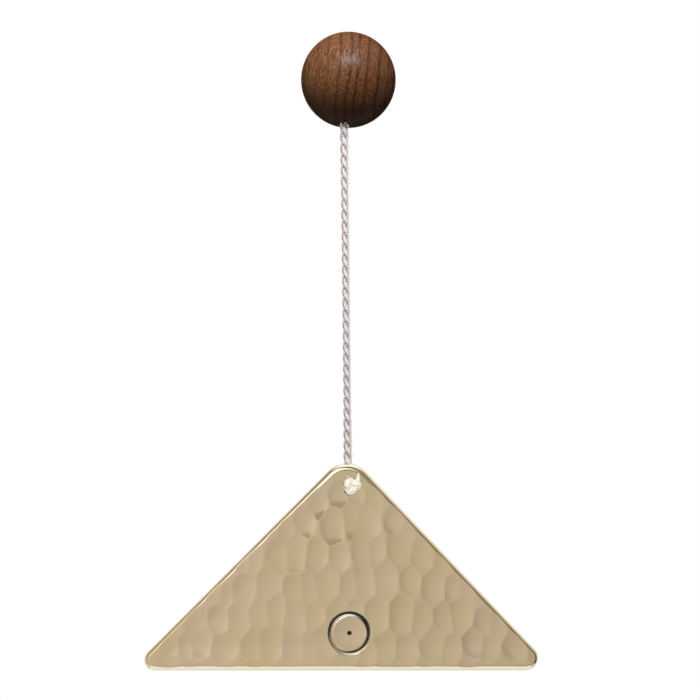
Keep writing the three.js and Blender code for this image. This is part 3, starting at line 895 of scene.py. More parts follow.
def fill_face(edge_ring, hole_ring, inner_spots, depth):
    """Covers the flat between the edge and the hole with triangles through the given places."""
    spots = [Vector((v.co.x, v.co.z)) for v in edge_ring + hole_ring] + inner_spots
    edge_loop = list(range(len(edge_ring)))
    hole_loop = list(range(len(edge_ring), len(edge_ring) + len(hole_ring)))
    hole_edges = [(hole_loop[i - 1], hole_loop[i]) for i in range(len(hole_loop))]
    filled = delaunay_2d_cdt(spots, hole_edges, [edge_loop], INSIDE_ONLY, SAME_PLACE)
    placed, faces, origins = filled[0], filled[2], filled[3]
    known = edge_ring + hole_ring
    corners = []
    for spot, came_from in zip(placed, origins):
        if came_from and came_from[0] < len(known):
            corners.append(known[came_from[0]])
        else:
            corners += add_ring([Vector((spot.x, depth, spot.y))])
    hole_corners = set(hole_ring)
    for face in faces:
        triangle = [corners[i] for i in face]
        if not hole_corners.issuperset(triangle):
            plate.faces.new(triangle).smooth = True


def hex_grid(step, margin):
    """Evenly spread places on the plate that keep a margin from its rounded edge and from the hole."""
    low = Vector((plate_low.x, plate_low.z))
    high = Vector((plate_high.x, plate_high.z))
    row_step = step * math.sqrt(0.75)
    rows = math.ceil((high.y - low.y) / row_step)
    columns = math.ceil((high.x - low.x) / step)
    hole_place = Vector((HOLE_CENTRE.x, HOLE_CENTRE.z))
    grid = []
    for row in range(rows):
        for column in range(columns):
            spot = low + Vector(((column + row % 2 / 2) * step, row * row_step))
            clear_of_hole = (spot - hole_place).length > HOLE_RADIUS + HOLE_EASING + margin
            distance, outward = nearest_edge(spot)
            if clear_of_hole and distance > edge_width(spot, outward) + margin:
                grid.append(spot)
    return grid


def circle_of_points(radius, step):
    """Places on a circle round the middle of the punched ring."""
    count = max(6, round(math.tau * radius / step))
    bearings = [math.tau * i / count for i in range(count)]
    return [STAMP_CENTRE + Vector((math.cos(b), math.sin(b))) * radius for b in bearings]


edge_angles = [math.pi / 2 * i / EDGE_RINGS for i in range(EDGE_RINGS + 1)]
easing_angles = [math.pi / 2 * i / EASING_RINGS for i in range(EASING_RINGS + 1)]
front_edge = [
    add_ring(on_outline(1 - math.cos(a), PLATE_FRONT_Y + EDGE_ROUNDING * (1 - math.sin(a))))
    for a in edge_angles
]
back_edge = [
    add_ring(on_outline(1 - math.cos(a), PLATE_BACK_Y - EDGE_ROUNDING * (1 - math.sin(a))))
    for a in edge_angles
]
front_hole = [
    add_ring(on_hole(1 - math.cos(a), PLATE_FRONT_Y + HOLE_EASING * (1 - math.sin(a))))
    for a in easing_angles
]
back_hole = [
    add_ring(on_hole(1 - math.cos(a), PLATE_BACK_Y - HOLE_EASING * (1 - math.sin(a))))
    for a in easing_angles
]
join_rings(front_edge[::-1] + back_edge)
join_rings(front_hole[::-1] + back_hole)

STAMP_STEP = 0.16 * MM
STAMP_POINT_STEP = 0.3 * MM
groove_reach = STAMP_LIP_WIDTH / 2 + STAMP_STEP
groove_rings = round(2 * groove_reach / STAMP_STEP)
stamp_radii = [STAMP_RADIUS - groove_reach + STAMP_STEP * i for i in range(groove_rings + 1)]
dot_radii = [STAMP_STEP * (i + 1) for i in range(round(STAMP_DOT_RADIUS / STAMP_STEP) + 2)]
stamp_spots = [STAMP_CENTRE]
for radius in stamp_radii + dot_radii:
    stamp_spots += circle_of_points(radius, STAMP_POINT_STEP)


def clear_of_stamp(spot):
    """Whether a place is away from the punched ring and its dot."""
    distance = (spot - STAMP_CENTRE).length
    return distance > dot_radii[-1] + FACE_STEP / 2 and not (
        stamp_radii[0] - FACE_STEP / 2 < distance < stamp_radii[-1] + FACE_STEP / 2
    )


face_spots = [spot for spot in hex_grid(FACE_STEP, FACE_MARGIN) if clear_of_stamp(spot)]
fill_face(front_edge[-1], front_hole[-1], face_spots + stamp_spots, PLATE_FRONT_Y)
fill_face(back_edge[-1], back_hole[-1], hex_grid(BACK_STEP, BACK_MARGIN), PLATE_BACK_Y)
bmesh.ops.recalc_face_normals(plate, faces=plate.faces)
plate_mesh = bpy.data.meshes.new("cast_plate")
plate.to_mesh(plate_mesh)
plate.free()
cast_plate = bpy.data.objects.new("cast_plate", plate_mesh)
bpy.context.scene.collection.objects.link(cast_plate)

# Bronze, cast, hammered and polished by hand: a warm, pale mirror whose colour drifts between pink and olive
# over patches a little larger than a hammer mark. Its polishing lines are drawn at 0.5 mm, many times their
# width. Black polishing paste has stayed in the punched ring and dot, wiped thinner in places. On the ring's
# walls the black is kept only where they face away from the bright upper left, as painted shade.
TINT_PATCH = 16 * MM
PASTE_PATCH = 9 * MM
POLISH_LINE_WIDTH = 0.5 * MM
POLISH_LINE_RUN = 8 * MM
hammered_bronze, tree = new_material("hammered_bronze")
object_place = add_node(tree, "ShaderNodeTexCoord").outputs["Object"]
tint_patches = add_node(
    tree, "ShaderNodeTexNoise", {"Vector": object_place, "Scale": 1 / TINT_PATCH, "Detail": 1.0}
)
bronze_colour = add_node(
    tree, "ShaderNodeValToRGB", {"Fac": tint_patches.outputs["Fac"]},
    stops=[(0.35, linear("#dbc59b")), (0.65, linear("#dec6a3"))],
)
polish_place = add_node(
    tree, "ShaderNodeVectorMath",
    {0: object_place, 1: (1 / POLISH_LINE_WIDTH, 1 / POLISH_LINE_WIDTH, 1 / POLISH_LINE_RUN)},
    operation="MULTIPLY",
)
polish_lines = add_node(
    tree, "ShaderNodeTexNoise", {"Vector": polish_place.outputs[0], "Scale": 1.0, "Detail": 2.0}
)
polish_roughness = add_node(
    tree, "ShaderNodeMapRange", {"Value": polish_lines.outputs["Fac"], "To Min": 0.05, "To Max": 0.12}
)
# Paste in the ring and dot, plus painted shade on the ring walls facing away from the light: black and not
# metal.
paste_and_shade_depth = add_node(tree, "ShaderNodeAttribute", attribute_name="paste_and_shade").outputs["Fac"]
paste_patches = add_node(
    tree, "ShaderNodeTexNoise", {"Vector": object_place, "Scale": 1 / PASTE_PATCH, "Detail": 1.0}
).outputs["Fac"]
paste_left = add_node(
    tree, "ShaderNodeMapRange", {"Value": paste_patches, "From Min": 0.35, "From Max": 0.6, "To Min": 0.88}
).outputs[0]
paste_and_shade = add_node(tree, "ShaderNodeMath", {0: paste_and_shade_depth, 1: paste_left}, operation="MULTIPLY").outputs[0]
paste_and_shade_colour = add_node(
    tree, "ShaderNodeMix", {0: paste_and_shade, 6: bronze_colour.outputs[0], 7: linear("#0e0b09")}, data_type="RGBA"
).outputs[2]
bronze_share = add_node(tree, "ShaderNodeMath", {0: 1.0, 1: paste_and_shade}, operation="SUBTRACT").outputs[0]
paste_and_shade_roughness = add_node(
    tree, "ShaderNodeMix", {0: paste_and_shade, 2: polish_roughness.outputs[0], 3: 0.6}, data_type="FLOAT"
).outputs[0]
bronze_surface = add_node(
    tree, "ShaderNodeBsdfPrincipled",
    {"Base Color": paste_and_shade_colour, "Metallic": bronze_share, "Roughness": paste_and_shade_roughness},
)
add_node(tree, "ShaderNodeOutputMaterial", {"Surface": bronze_surface.outputs[0]})

# The hammering's rule: staggered rows of blows that stray a little, each of which leaves a shallow bowl as
# deep as the blow was hard. Where bowls meet, the deeper one stays, so ridges stand between them.
UNSTRUCK_DEPTH = -5 * MM
GROOVE_FLOOR_SHARE = 0.4
RING_PASTE_SHARE = 0.85
DOT_PASTE_SHARE = 0.88
hammering = bpy.data.node_groups.new("hammer_blows", "GeometryNodeTree")
hammering.interface.new_socket("Plate", in_out="INPUT", socket_type="NodeSocketGeometry")
for label in ("Blow Columns", "Blow Rows", "Seed"):
    hammering.interface.new_socket(label, in_out="INPUT", socket_type="NodeSocketInt")
for label in ("Blow Spacing X", "Blow Spacing Z", "Blow Stray", "First Blow X", "First Blow Z", "Face Y",
              "Front Reach", "Ridge Rounding", "Rim Rounding", "Least Depth", "Most Depth", "Least Radius",
              "Most Radius", "Blow Height Share", "Stamp X", "Stamp Z", "Stamp Radius", "Lip Width",
              "Lip Depth", "Groove Width", "Groove Depth", "Dot Radius", "Dot Depth", "Stamp Flat Depth",
              "Stamp Flat Radius"):
    hammering.interface.new_socket(label, in_out="INPUT", socket_type="NodeSocketFloat")
for label in ("Wiping Way", "Thin Paste Way"):
    hammering.interface.new_socket(label, in_out="INPUT", socket_type="NodeSocketVector")
hammering.interface.new_socket("Bronze", in_out="INPUT", socket_type="NodeSocketMaterial")
hammering.interface.new_socket("Hammered", in_out="OUTPUT", socket_type="NodeSocketGeometry")
blow_value = {socket.name: socket for socket in add_node(hammering, "NodeGroupInput").outputs}

# Each turn of the loop is one blow. Chance moves it, and sets its depth and the radius of its bowl.
first_blow = add_node(hammering, "GeometryNodeRepeatInput")
last_blow = add_node(hammering, "GeometryNodeRepeatOutput")
first_blow.pair_with_output(last_blow)
blow_value["blow"] = first_blow.outputs["Iteration"]
for turn, (label, least) in enumerate((("x", -1.0), ("z", -1.0), ("depth", 0.0), ("radius", 0.0))):
    seed = add_node(
        hammering, "ShaderNodeMath", {0: blow_value["Seed"], 1: float(turn)}, operation="ADD"
    ).outputs[0]
    blow_value["chance_" + label] = add_node(
        hammering, "FunctionNodeRandomValue",
        {2: least, 3: 1.0, "ID": blow_value["blow"], "Seed": seed}, data_type="FLOAT",
    ).outputs[1]
for label in ("Depth", "Radius"):
    chance = blow_value["chance_" + label.lower()]
    blow_value["blow_" + label.lower()] = add_node(
        hammering, "ShaderNodeMapRange",
        {"Value": chance, "To Min": blow_value["Least " + label], "To Max": blow_value["Most " + label]},
    ).outputs[0]

# A point of the plate: where it lies, how deep it is struck so far, and how far and which way it lies from
# the middle of the punched ring.
face_place = add_node(hammering, "GeometryNodeInputPosition").outputs[0]
face_part = add_node(hammering, "ShaderNodeSeparateXYZ", {0: face_place}).outputs
for axis in "XYZ":
    blow_value[axis] = face_part[axis]
for name, attribute in (("depth_so_far", "blow_depth"), ("spared_here", "spared")):
    blow_value[name] = add_node(
        hammering, "GeometryNodeInputNamedAttribute", {"Name": attribute}, data_type="FLOAT"
    ).outputs[0]
stamp_place = add_node(
    hammering, "ShaderNodeCombineXYZ", {0: blow_value["Stamp X"], 1: 0.0, 2: blow_value["Stamp Z"]}
).outputs[0]
flat_spot = add_node(
    hammering, "ShaderNodeCombineXYZ", {0: blow_value["X"], 1: 0.0, 2: blow_value["Z"]}
).outputs[0]
blow_value["from_stamp"] = add_node(
    hammering, "ShaderNodeVectorMath", {0: flat_spot, 1: stamp_place}, operation="DISTANCE"
).outputs["Value"]
stamp_way = add_node(
    hammering, "ShaderNodeVectorMath", {0: flat_spot, 1: stamp_place}, operation="SUBTRACT"
).outputs[0]
stamp_bearing = add_node(hammering, "ShaderNodeVectorMath", {0: stamp_way}, operation="NORMALIZE").outputs[0]
# How far a point lies towards the lit upper left, for the painted shade on the ring's walls, and towards the
# thinner paste.
for name, way in (("towards_lit_side", "Wiping Way"), ("towards_thin", "Thin Paste Way")):
    blow_value[name] = add_node(
        hammering, "ShaderNodeVectorMath", {0: stamp_bearing, 1: blow_value[way]}, operation="DOT_PRODUCT"
    ).outputs["Value"]
for name, operation, *sources in (
    ("blow_count", "MULTIPLY", "Blow Columns", "Blow Rows"),
    ("row_share", "DIVIDE", "blow", "Blow Columns"),
    ("row", "FLOOR", "row_share"),
    ("column", "MODULO", "blow", "Blow Columns"),
    ("odd_row", "MODULO", "row", 2.0),
    ("stagger", "MULTIPLY_ADD", "odd_row", 0.5, "column"),
    ("row_x", "MULTIPLY_ADD", "stagger", "Blow Spacing X", "First Blow X"),
    ("row_z", "MULTIPLY_ADD", "row", "Blow Spacing Z", "First Blow Z"),
    ("blow_x", "MULTIPLY_ADD", "chance_x", "Blow Stray", "row_x"),
    ("blow_z", "MULTIPLY_ADD", "chance_z", "Blow Stray", "row_z"),
    ("from_blow_x", "SUBTRACT", "X", "blow_x"),
    ("from_blow_z", "SUBTRACT", "Z", "blow_z"),
    ("tall_z", "DIVIDE", "from_blow_z", "Blow Height Share"),
    ("square_z", "MULTIPLY", "tall_z", "tall_z"),
    ("square", "MULTIPLY_ADD", "from_blow_x", "from_blow_x", "square_z"),
    ("two_radii", "MULTIPLY", "blow_radius", -2.0),
    ("bowl", "DIVIDE", "square", "two_radii"),
    ("deep_bowl", "ADD", "bowl", "blow_depth"),
    ("deeper", "SMOOTH_MAX", "depth_so_far", "deep_bowl", "Ridge Rounding"),
    ("depth_here", "SUBTRACT", "depth_so_far", "spared_here"),
    ("bowl_y", "ADD", "depth_here", "Face Y"),
    ("struck_y", "SMOOTH_MAX", "Y", "bowl_y", "Rim Rounding"),
    ("front_y", "ADD", "Face Y", "Front Reach"),
    ("reached", "LESS_THAN", "Y", "front_y"),
    ("two_flat_radii", "MULTIPLY", "Stamp Flat Radius", -2.0),
    ("stamp_square", "MULTIPLY", "from_stamp", "from_stamp"),
    ("stamp_bowl", "DIVIDE", "stamp_square", "two_flat_radii"),
    ("stamp_level", "ADD", "Face Y", "Stamp Flat Depth"),
    ("flat_y", "ADD", "stamp_level", "stamp_bowl"),
    ("inside_ring", "SUBTRACT", "Stamp Radius", "Groove Width"),
    ("from_groove", "SUBTRACT", "from_stamp", "Stamp Radius"),
    ("groove_side", "ABSOLUTE", "from_groove"),
    ("half_groove", "MULTIPLY", "Groove Width", 0.5),
    ("half_lip", "MULTIPLY", "Lip Width", 0.5),
    ("half_floor", "MULTIPLY", "half_groove", GROOVE_FLOOR_SHARE),
    ("paste_floor", "MULTIPLY", "half_groove", RING_PASTE_SHARE),
    ("dot_inside", "MULTIPLY", "Dot Radius", DOT_PASTE_SHARE),
    ("wall_share", "DIVIDE", "from_groove", "half_groove"),
    ("wall_facing_away", "MULTIPLY", "towards_lit_side", "wall_share"),
):
    inputs = {i: blow_value.get(source, source) for i, source in enumerate(sources)}
    blow_value[name] = add_node(hammering, "ShaderNodeMath", inputs, operation=operation).outputs[0]

# The punch flattens what is inside its ring, and paste stays in the ring and the dot. On the ring's walls the
# black is kept where a wall faces away from the lit side and left off where it faces it, as painted shade.
# Each row gives what a value is read from, the two ends that it is read between, and what it is at those
# ends.
for name, easing, *sources in (
    ("flat_share", "LINEAR", "from_stamp", "Stamp Radius", "inside_ring", 0.0, 1.0),
    ("lip_depth", "LINEAR", "groove_side", "half_groove", "half_lip", "Lip Depth", 0.0),
    ("groove_depth", "SMOOTHSTEP", "groove_side", "half_floor", "half_groove", "Groove Depth", 0.0),
    ("dot_depth", "SMOOTHSTEP", "from_stamp", 0.0, "Dot Radius", "Dot Depth", 0.0),
    ("paste_in_ring", "LINEAR", "groove_side", "half_groove", "paste_floor", 0.0, 1.0),
    ("paste_in_dot", "LINEAR", "from_stamp", "Dot Radius", "dot_inside", 0.0, 1.0),
    # Painted shade: the black is kept on the ring walls that face away from the light.
    ("kept_in_shade", "LINEAR", "wall_facing_away", -0.45, 0.0, 0.0, 1.0),
    ("thinned", "LINEAR", "towards_thin", 0.55, 0.95, 1.0, 0.3),
):
    inputs = {i: blow_value.get(source, source) for i, source in enumerate(sources)}
    blow_value[name] = add_node(
        hammering, "ShaderNodeMapRange", inputs, interpolation_type=easing
    ).outputs[0]
blow_value["level_y"] = add_node(
    hammering, "ShaderNodeMix", {0: blow_value["flat_share"], 2: blow_value["Y"], 3: blow_value["flat_y"]},
    data_type="FLOAT",
).outputs[0]
for name, operation, *sources in (
    ("ring_depth", "ADD", "lip_depth", "groove_depth"),
    ("stamp_depth", "ADD", "ring_depth", "dot_depth"),
    ("stamped_y", "ADD", "level_y", "stamp_depth"),
    ("ring_paste_and_shade_share", "MULTIPLY", "kept_in_shade", "thinned"),
    ("ring_paste_and_shade", "MULTIPLY", "paste_in_ring", "ring_paste_and_shade_share"),
    ("all_paste_and_shade", "MAXIMUM", "ring_paste_and_shade", "paste_in_dot"),
    ("front_paste_and_shade", "MULTIPLY", "all_paste_and_shade", "reached"),
):
    inputs = {i: blow_value.get(source, source) for i, source in enumerate(sources)}
    blow_value[name] = add_node(hammering, "ShaderNodeMath", inputs, operation=operation).outputs[0]

# The plate is struck blow by blow, and then punched.
unstruck = add_node(
    hammering, "GeometryNodeStoreNamedAttribute",
    {"Geometry": blow_value["Plate"], "Name": "blow_depth", "Value": UNSTRUCK_DEPTH},
    data_type="FLOAT", domain="POINT",
)
hammering.links.new(blow_value["blow_count"], first_blow.inputs["Iterations"])
hammering.links.new(unstruck.outputs[0], first_blow.inputs["Geometry"])
one_blow = add_node(
    hammering, "GeometryNodeStoreNamedAttribute",
    {"Geometry": first_blow.outputs["Geometry"], "Name": "blow_depth", "Value": blow_value["deeper"]},
    data_type="FLOAT", domain="POINT",
)
hammering.links.new(one_blow.outputs[0], last_blow.inputs["Geometry"])
struck_spot = add_node(
    hammering, "ShaderNodeCombineXYZ", {0: blow_value["X"], 1: blow_value["struck_y"], 2: blow_value["Z"]}
).outputs[0]
struck = add_node(
    hammering, "GeometryNodeSetPosition",
    {
        "Geometry": last_blow.outputs["Geometry"], "Selection": blow_value["reached"],
        "Position": struck_spot,
    },
)
paste_and_shade_stored = add_node(
    hammering, "GeometryNodeStoreNamedAttribute",
    {"Geometry": struck.outputs[0], "Name": "paste_and_shade", "Value": blow_value["front_paste_and_shade"]},
    data_type="FLOAT", domain="POINT",
)
stamped_spot = add_node(
    hammering, "ShaderNodeCombineXYZ", {0: blow_value["X"], 1: blow_value["stamped_y"], 2: blow_value["Z"]}
).outputs[0]
stamped = add_node(
    hammering, "GeometryNodeSetPosition",
    {"Geometry": paste_and_shade_stored.outputs[0], "Selection": blow_value["reached"], "Position": stamped_spot},
)
real_plate = add_node(hammering, "GeometryNodeRealizeInstances", {"Geometry": stamped.outputs[0]})
bronze_plate = add_node(
    hammering, "GeometryNodeSetMaterial",
    {"Geometry": real_plate.outputs[0], "Material": blow_value["Bronze"]},
)
add_node(hammering, "NodeGroupOutput", {0: bronze_plate.outputs[0]})

blow_spacing = Vector((8.6, 13)) * MM
hammered_mesh = modified_mesh(cast_plate, hammering, {
    "Blow Columns": math.ceil((plate_high.x - plate_low.x) / blow_spacing.x) + 2,
    "Blow Rows": math.ceil((plate_high.z - plate_low.z) / blow_spacing.y) + 2,
    "Seed": 7,
    "Blow Spacing X": blow_spacing.x,
    "Blow Spacing Z": blow_spacing.y,
    "Blow Stray": 3.1 * MM,
    "First Blow X": plate_low.x - blow_spacing.x / 2,
    "First Blow Z": plate_low.z - blow_spacing.y / 4,
    "Face Y": PLATE_FRONT_Y,
    "Front Reach": 1.5 * MM,
    "Ridge Rounding": 0.1 * MM,
    "Rim Rounding": 0.17 * MM,
    "Least Depth": 0.37 * MM,
    "Most Depth": 0.5 * MM,
    "Least Radius": 34 * MM,
    "Most Radius": 60 * MM,
    "Blow Height Share": 1.55,
    "Stamp X": STAMP_CENTRE.x,
    "Stamp Z": STAMP_CENTRE.y,
    "Stamp Radius": STAMP_RADIUS,
    "Lip Width": STAMP_LIP_WIDTH,
    "Lip Depth": STAMP_LIP_DEPTH,
    "Groove Width": STAMP_GROOVE_WIDTH,
    "Groove Depth": STAMP_GROOVE_DEPTH,
    "Dot Radius": STAMP_DOT_RADIUS,
    "Dot Depth": STAMP_DOT_DEPTH,
    "Stamp Flat Depth": 0.46 * MM,
    "Stamp Flat Radius": 65 * MM,
    # The way to the lit side; ring walls facing away from it are painted black as shade.
    "Wiping Way": (-0.6, 0.0, 0.8),
    "Thin Paste Way": (-0.75, 0.0, -0.66),
    "Bronze": hammered_bronze,
})
cast_plate.data = hammered_mesh
cast_plate.name = "hammered_plate"
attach(cast_plate, "plate")
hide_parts("sound_plate")

# Studio: a white background, soft lamps for the ball and the yarn, and pale cards for the metal to mirror.
# The surround is given as rings about the way to the camera, a row of rings for each of eight ways round it.
# A ring is (degrees from the camera, level). A darker gap just above the camera gives the plate dark slivers.
SURROUND_PEAK = 3.1
AMBIENT_LEVEL = 0.03
GAP_LEVEL = 0.5
GAP_LOW_EDGE = [math.sin(math.radians(angle)) for angle in (-1.5, -1.0)]
GAP_SIDE_EDGE = [angle / 180 for angle in (9, 12)]
ROW_ANGLE = math.radians(45)
COOL_FROM = 0.9
COOL_SPAN = 0.5
CARD_TINT = (0.83, 1.0, 1.25)
surround_rings = {
    0: [(0, 0.71), (6, 0.66), (12, 0.54), (16, 0.5), (25, 0.4), (35, 0.12), (80, 0.12), (96, 1.0), (108, 1.0),
        (118, 0.04)],
    45: [(0, 0.71), (9, 0.6), (20, 0.42), (62, 0.33), (72, 1.05), (108, 1.05), (118, 0.04)],
    90: [(0, 0.71), (1, 0.43), (10.5, 0.4), (12.5, 1.7), (28, 1.7), (30, 0.12), (50, 0.12), (53, 2.6),
         (98, 2.6), (104, 1.0), (112, 1.0), (118, 0.04)],
    135: [(0, 0.71), (4, 0.6), (9, 0.43), (12, 2.3), (40, 2.3), (45, 0.4), (110, 0.4), (118, 0.04)],
    180: [(0, 0.71), (8, 0.83), (14, 1.0), (24, 1.0), (34, 0.7), (60, 0.5), (96, 1.0), (108, 1.0),
          (118, 0.04)],
    225: [(0, 0.71), (10, 0.77), (20, 0.77), (40, 0.6), (70, 0.8), (100, 1.1), (108, 1.1), (118, 0.04)],
    270: [(0, 0.71), (8, 0.73), (16, 0.67), (40, 0.6), (48, 0.15), (118, 0.04)],
    315: [(0, 0.71), (10, 0.69), (20, 0.56), (30, 0.4), (34, 0.06), (80, 0.06), (100, 1.0), (108, 1.0),
          (118, 0.04)],
}


def card_light(level):
    """One level of the surround as a colour: bright cards are a little cooler than the dim room."""
    coolness = min(1, max(0, (level - COOL_FROM) / COOL_SPAN))
    return [level * (1 + (part - 1) * coolness) / SURROUND_PEAK for part in CARD_TINT] + [1]


world = bpy.data.worlds.new("studio_surround")
bpy.context.scene.world = world
world.use_nodes = True
# Only mirrored rays see the surround, so it isn't sampled as a lamp. The camera sees white.
world.cycles.sampling_method = "NONE"
tree = world.node_tree
tree.nodes.clear()
ray_way = add_node(tree, "ShaderNodeTexCoord").outputs["Generated"]
way_part = add_node(tree, "ShaderNodeSeparateXYZ", {0: ray_way}).outputs
towards_camera = add_node(
    tree, "ShaderNodeMath", {0: way_part["Y"], 1: -1.0}, operation="MULTIPLY"
).outputs[0]
from_camera = add_node(tree, "ShaderNodeMath", {0: towards_camera}, operation="ARCCOSINE").outputs[0]
from_camera_share = add_node(
    tree, "ShaderNodeMath", {0: from_camera, 1: 1 / math.pi}, operation="MULTIPLY"
).outputs[0]
way_round = add_node(
    tree, "ShaderNodeMath", {0: way_part["Z"], 1: way_part["X"]}, operation="ARCTAN2"
).outputs[0]
surround = None
for bearing, rings_of_light in surround_rings.items():
    offset = add_node(
        tree, "ShaderNodeMath", {0: way_round, 1: math.radians(bearing)}, operation="SUBTRACT"
    ).outputs[0]
    wrapped = add_node(
        tree, "ShaderNodeMath", {0: offset, 1: math.pi, 2: -math.pi}, operation="WRAP"
    ).outputs[0]
    apart = add_node(tree, "ShaderNodeMath", {0: wrapped}, operation="ABSOLUTE").outputs[0]
    weight = add_node(
        tree, "ShaderNodeMapRange", {"Value": apart, "From Max": ROW_ANGLE, "To Min": 1.0, "To Max": 0.0}
    ).outputs[0]
    levels = add_node(
        tree, "ShaderNodeValToRGB", {"Fac": from_camera_share},
        stops=[(angle / 180, card_light(level)) for angle, level in rings_of_light],
    ).outputs[0]
    part = add_node(tree, "ShaderNodeVectorMath", {0: levels, "Scale": weight}, operation="SCALE").outputs[0]
    if surround:
        part = add_node(tree, "ShaderNodeVectorMath", {0: surround, 1: part}, operation="ADD").outputs[0]
    surround = part
gap_height = add_node(
    tree, "ShaderNodeMapRange",
    {"Value": way_part["Z"], "From Min": GAP_LOW_EDGE[0], "From Max": GAP_LOW_EDGE[1]},
).outputs[0]
gap_width = add_node(
    tree, "ShaderNodeMapRange",
    {
        "Value": from_camera_share, "From Min": GAP_SIDE_EDGE[0], "From Max": GAP_SIDE_EDGE[1],
        "To Min": 1.0, "To Max": 0.0,
    },
).outputs[0]
gap_share = add_node(tree, "ShaderNodeMath", {0: gap_height, 1: gap_width}, operation="MULTIPLY").outputs[0]
surround = add_node(
    tree, "ShaderNodeMix", {0: gap_share, 6: surround, 7: card_light(GAP_LEVEL)}, data_type="RGBA"
).outputs[2]
world_rays = add_node(tree, "ShaderNodeLightPath").outputs
mirrored_light = add_node(
    tree, "ShaderNodeBackground", {"Color": surround, "Strength": SURROUND_PEAK}
).outputs[0]
ambient_light = add_node(
    tree, "ShaderNodeBackground", {"Color": (1, 1, 1, 1), "Strength": AMBIENT_LEVEL}
).outputs[0]
white_light = add_node(tree, "ShaderNodeBackground", {"Color": (1, 1, 1, 1), "Strength": 1.0}).outputs[0]
object_light = add_node(
    tree, "ShaderNodeMixShader", {0: world_rays["Is Diffuse Ray"], 1: mirrored_light, 2: ambient_light}
).outputs[0]
seen_light = add_node(
    tree, "ShaderNodeMixShader", {0: world_rays["Is Camera Ray"], 1: object_light, 2: white_light}
).outputs[0]
add_node(tree, "ShaderNodeOutputWorld", {"Surface": seen_light})


def light_group(name, pieces, state):
    """A group of pieces that a lamp lights or leaves out."""
    group = bpy.data.collections.new(name)
    for piece in pieces:
        group.objects.link(piece)
    for entry in group.collection_objects:
        entry.light_linking.link_state = state
    return group


cord_stretches = [mouth_cord, upper_cord, lower_cord]
knot_pieces = [front_knot, front_tail, handle_knot]
white_pieces = cord_stretches + knot_pieces
not_metal = light_group("not_metal", [cast_plate], "EXCLUDE")
neither_metal_nor_yarn = light_group("neither_metal_nor_yarn", [cast_plate, *white_pieces], "EXCLUDE")
yarn_only = light_group("yarn_only", white_pieces, "INCLUDE")
cord_only = light_group("cord_only", cord_stretches, "INCLUDE")
knots_only = light_group("knots_only", knot_pieces, "INCLUDE")
metal_only = light_group("metal_only", [cast_plate], "INCLUDE")
ball_only = light_group("ball_only", [walnut_ball], "INCLUDE")

# The lamps leave the metal out, because it would mirror them as hard spots. The two cards are for the metal
# alone: one below it, for its bottom edge, and one behind it, for its back. The sheen lamp gives the ball its
# soft shine and nothing else, and the side and back lamps reach what the front ones leave dark.
lamps = {
    "high_lamp": {
        "place": (10, -620, 590), "aim": (0, 0, -100), "width": 700, "height": 400, "power": 9.2,
        "colour": (1, 1, 1), "lights": neither_metal_nor_yarn, "in_gloss": True, "in_matt": True,
    },
    "sheen_lamp": {
        "place": (60, -640, 520), "aim": (0, 0, 0), "width": 600, "height": 250, "power": 15,
        "colour": (1, 1, 1), "lights": ball_only, "in_gloss": True, "in_matt": False,
    },
    "front_lamp": {
        "place": (40, -650, 620), "aim": (0, 0, -100), "width": 300, "height": 300, "power": 9.8,
        "colour": (1, 1, 1), "lights": cord_only, "in_gloss": True, "in_matt": True,
    },
    "knot_lamp": {
        "place": (40, -900, 0), "aim": (0, 0, -170), "width": 300, "height": 300, "power": 7.4,
        "colour": (1, 1, 1), "lights": knots_only, "in_gloss": True, "in_matt": True,
    },
    "left_lamp": {
        "place": (-700, -150, 0), "aim": (0, 0, -100), "width": 300, "height": 300, "power": 2.8,
        "colour": (1, 1, 1), "lights": yarn_only, "in_gloss": False, "in_matt": True,
    },
    "right_lamp": {
        "place": (700, -150, 0), "aim": (0, 0, -100), "width": 300, "height": 300, "power": 2.8,
        "colour": (1, 1, 1), "lights": yarn_only, "in_gloss": False, "in_matt": True,
    },
    "back_lamp": {
        "place": (0, 800, 100), "aim": (0, 0, -100), "width": 600, "height": 600, "power": 7.5,
        "colour": (1, 1, 1), "lights": not_metal, "in_gloss": False, "in_matt": True,
    },
    "low_card": {
        "place": (0, -72, -420), "aim": (0, -72, -248), "width": 340, "height": 335, "power": 0.18,
        "colour": (0.6, 1, 1.6), "lights": metal_only, "in_gloss": True, "in_matt": True,
    },
    "back_card": {
        "place": (0, 500, -150), "aim": (0, 0, -150), "width": 3000, "height": 3000, "power": 28,
        "colour": (0.95, 1, 1.06), "lights": metal_only, "in_gloss": True, "in_matt": True,
    },
}
for name, facts in lamps.items():
    lamp_data = bpy.data.lights.new(name, "AREA")
    lamp_data.shape = "RECTANGLE"
    lamp_data.size = facts["width"] * MM
    lamp_data.size_y = facts["height"] * MM
    lamp_data.energy = facts["power"]
    lamp_data.color = facts["colour"]
    lamp = bpy.data.objects.new(name, lamp_data)
    lamp.location = Vector(facts["place"]) * MM
    lamp.rotation_euler = (Vector(facts["aim"]) * MM - lamp.location).to_track_quat("-Z", "Y").to_euler()
    lamp.visible_camera = False
    lamp.visible_glossy = facts["in_gloss"]
    lamp.visible_diffuse = facts["in_matt"]
    lamp.light_linking.receiver_collection = facts["lights"]
    bpy.context.scene.collection.objects.link(lamp)

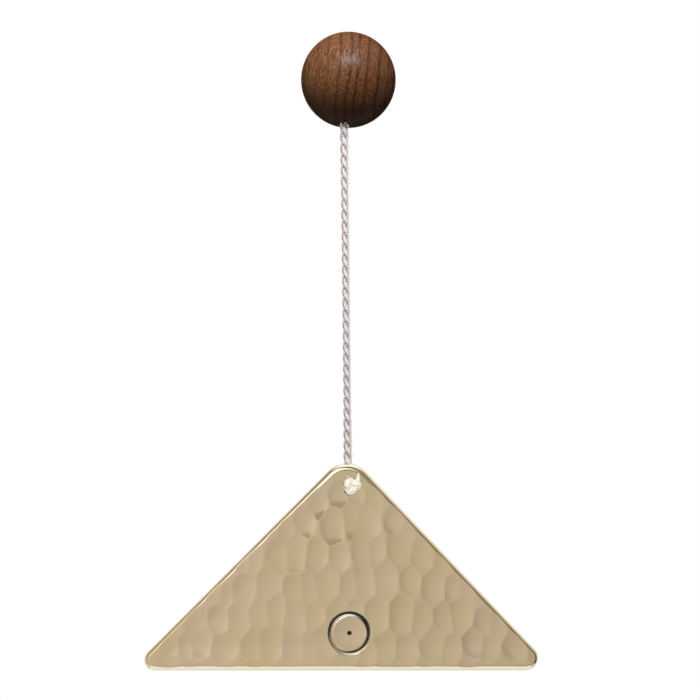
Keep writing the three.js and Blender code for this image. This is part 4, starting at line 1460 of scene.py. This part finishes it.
# Floor: a pale sheet of paper well below the hanging plate, for views from above. It takes a soft shadow
# round its middle, and fades into the white background towards its edge.
FLOOR_Z = -800 * MM
FLOOR_HALF = 800 * MM
FADE_START = 100 * MM
FADE_END = 0.9 * FLOOR_HALF
MIDDLE_WHITE = 0.7
floor_corners = [(x * FLOOR_HALF, y * FLOOR_HALF, FLOOR_Z) for x, y in ((-1, -1), (1, -1), (1, 1), (-1, 1))]
sheet_mesh = bpy.data.meshes.new("floor")
sheet_mesh.from_pydata(floor_corners, [], [(0, 1, 2, 3)])
floor = bpy.data.objects.new("floor", sheet_mesh)
bpy.context.scene.collection.objects.link(floor)
floor_paper, tree = new_material("floor_paper")
floor_place = add_node(tree, "ShaderNodeTexCoord").outputs["Object"]
flat_place = add_node(
    tree, "ShaderNodeVectorMath", {0: floor_place, 1: (1, 1, 0)}, operation="MULTIPLY"
).outputs[0]
from_middle = add_node(tree, "ShaderNodeVectorMath", {0: flat_place}, operation="LENGTH").outputs["Value"]
paper_white = add_node(
    tree, "ShaderNodeMapRange",
    {"Value": from_middle, "From Min": FADE_START, "From Max": FADE_END, "To Min": MIDDLE_WHITE},
).outputs[0]
floor_rays = add_node(tree, "ShaderNodeLightPath").outputs
camera_or_glossy = add_node(
    tree, "ShaderNodeMath", {0: floor_rays["Is Camera Ray"], 1: floor_rays["Is Glossy Ray"]},
    operation="MAXIMUM",
).outputs[0]
seen = add_node(
    tree, "ShaderNodeMath", {0: camera_or_glossy, 1: floor_rays["Is Transmission Ray"]}, operation="MAXIMUM"
).outputs[0]
white_share = add_node(tree, "ShaderNodeMath", {0: seen, 1: paper_white}, operation="MULTIPLY").outputs[0]
paper = add_node(tree, "ShaderNodeBsdfDiffuse", {"Color": linear("#545250")})
white = add_node(tree, "ShaderNodeEmission", {"Color": (1, 1, 1, 1), "Strength": 1.0})
floor_light = add_node(
    tree, "ShaderNodeMixShader", {0: white_share, 1: paper.outputs[0], 2: white.outputs[0]}
)
add_node(tree, "ShaderNodeOutputMaterial", {"Surface": floor_light.outputs[0]})
sheet_mesh.materials.append(floor_paper)
bpy.context.scene.view_settings.view_transform = "Standard"
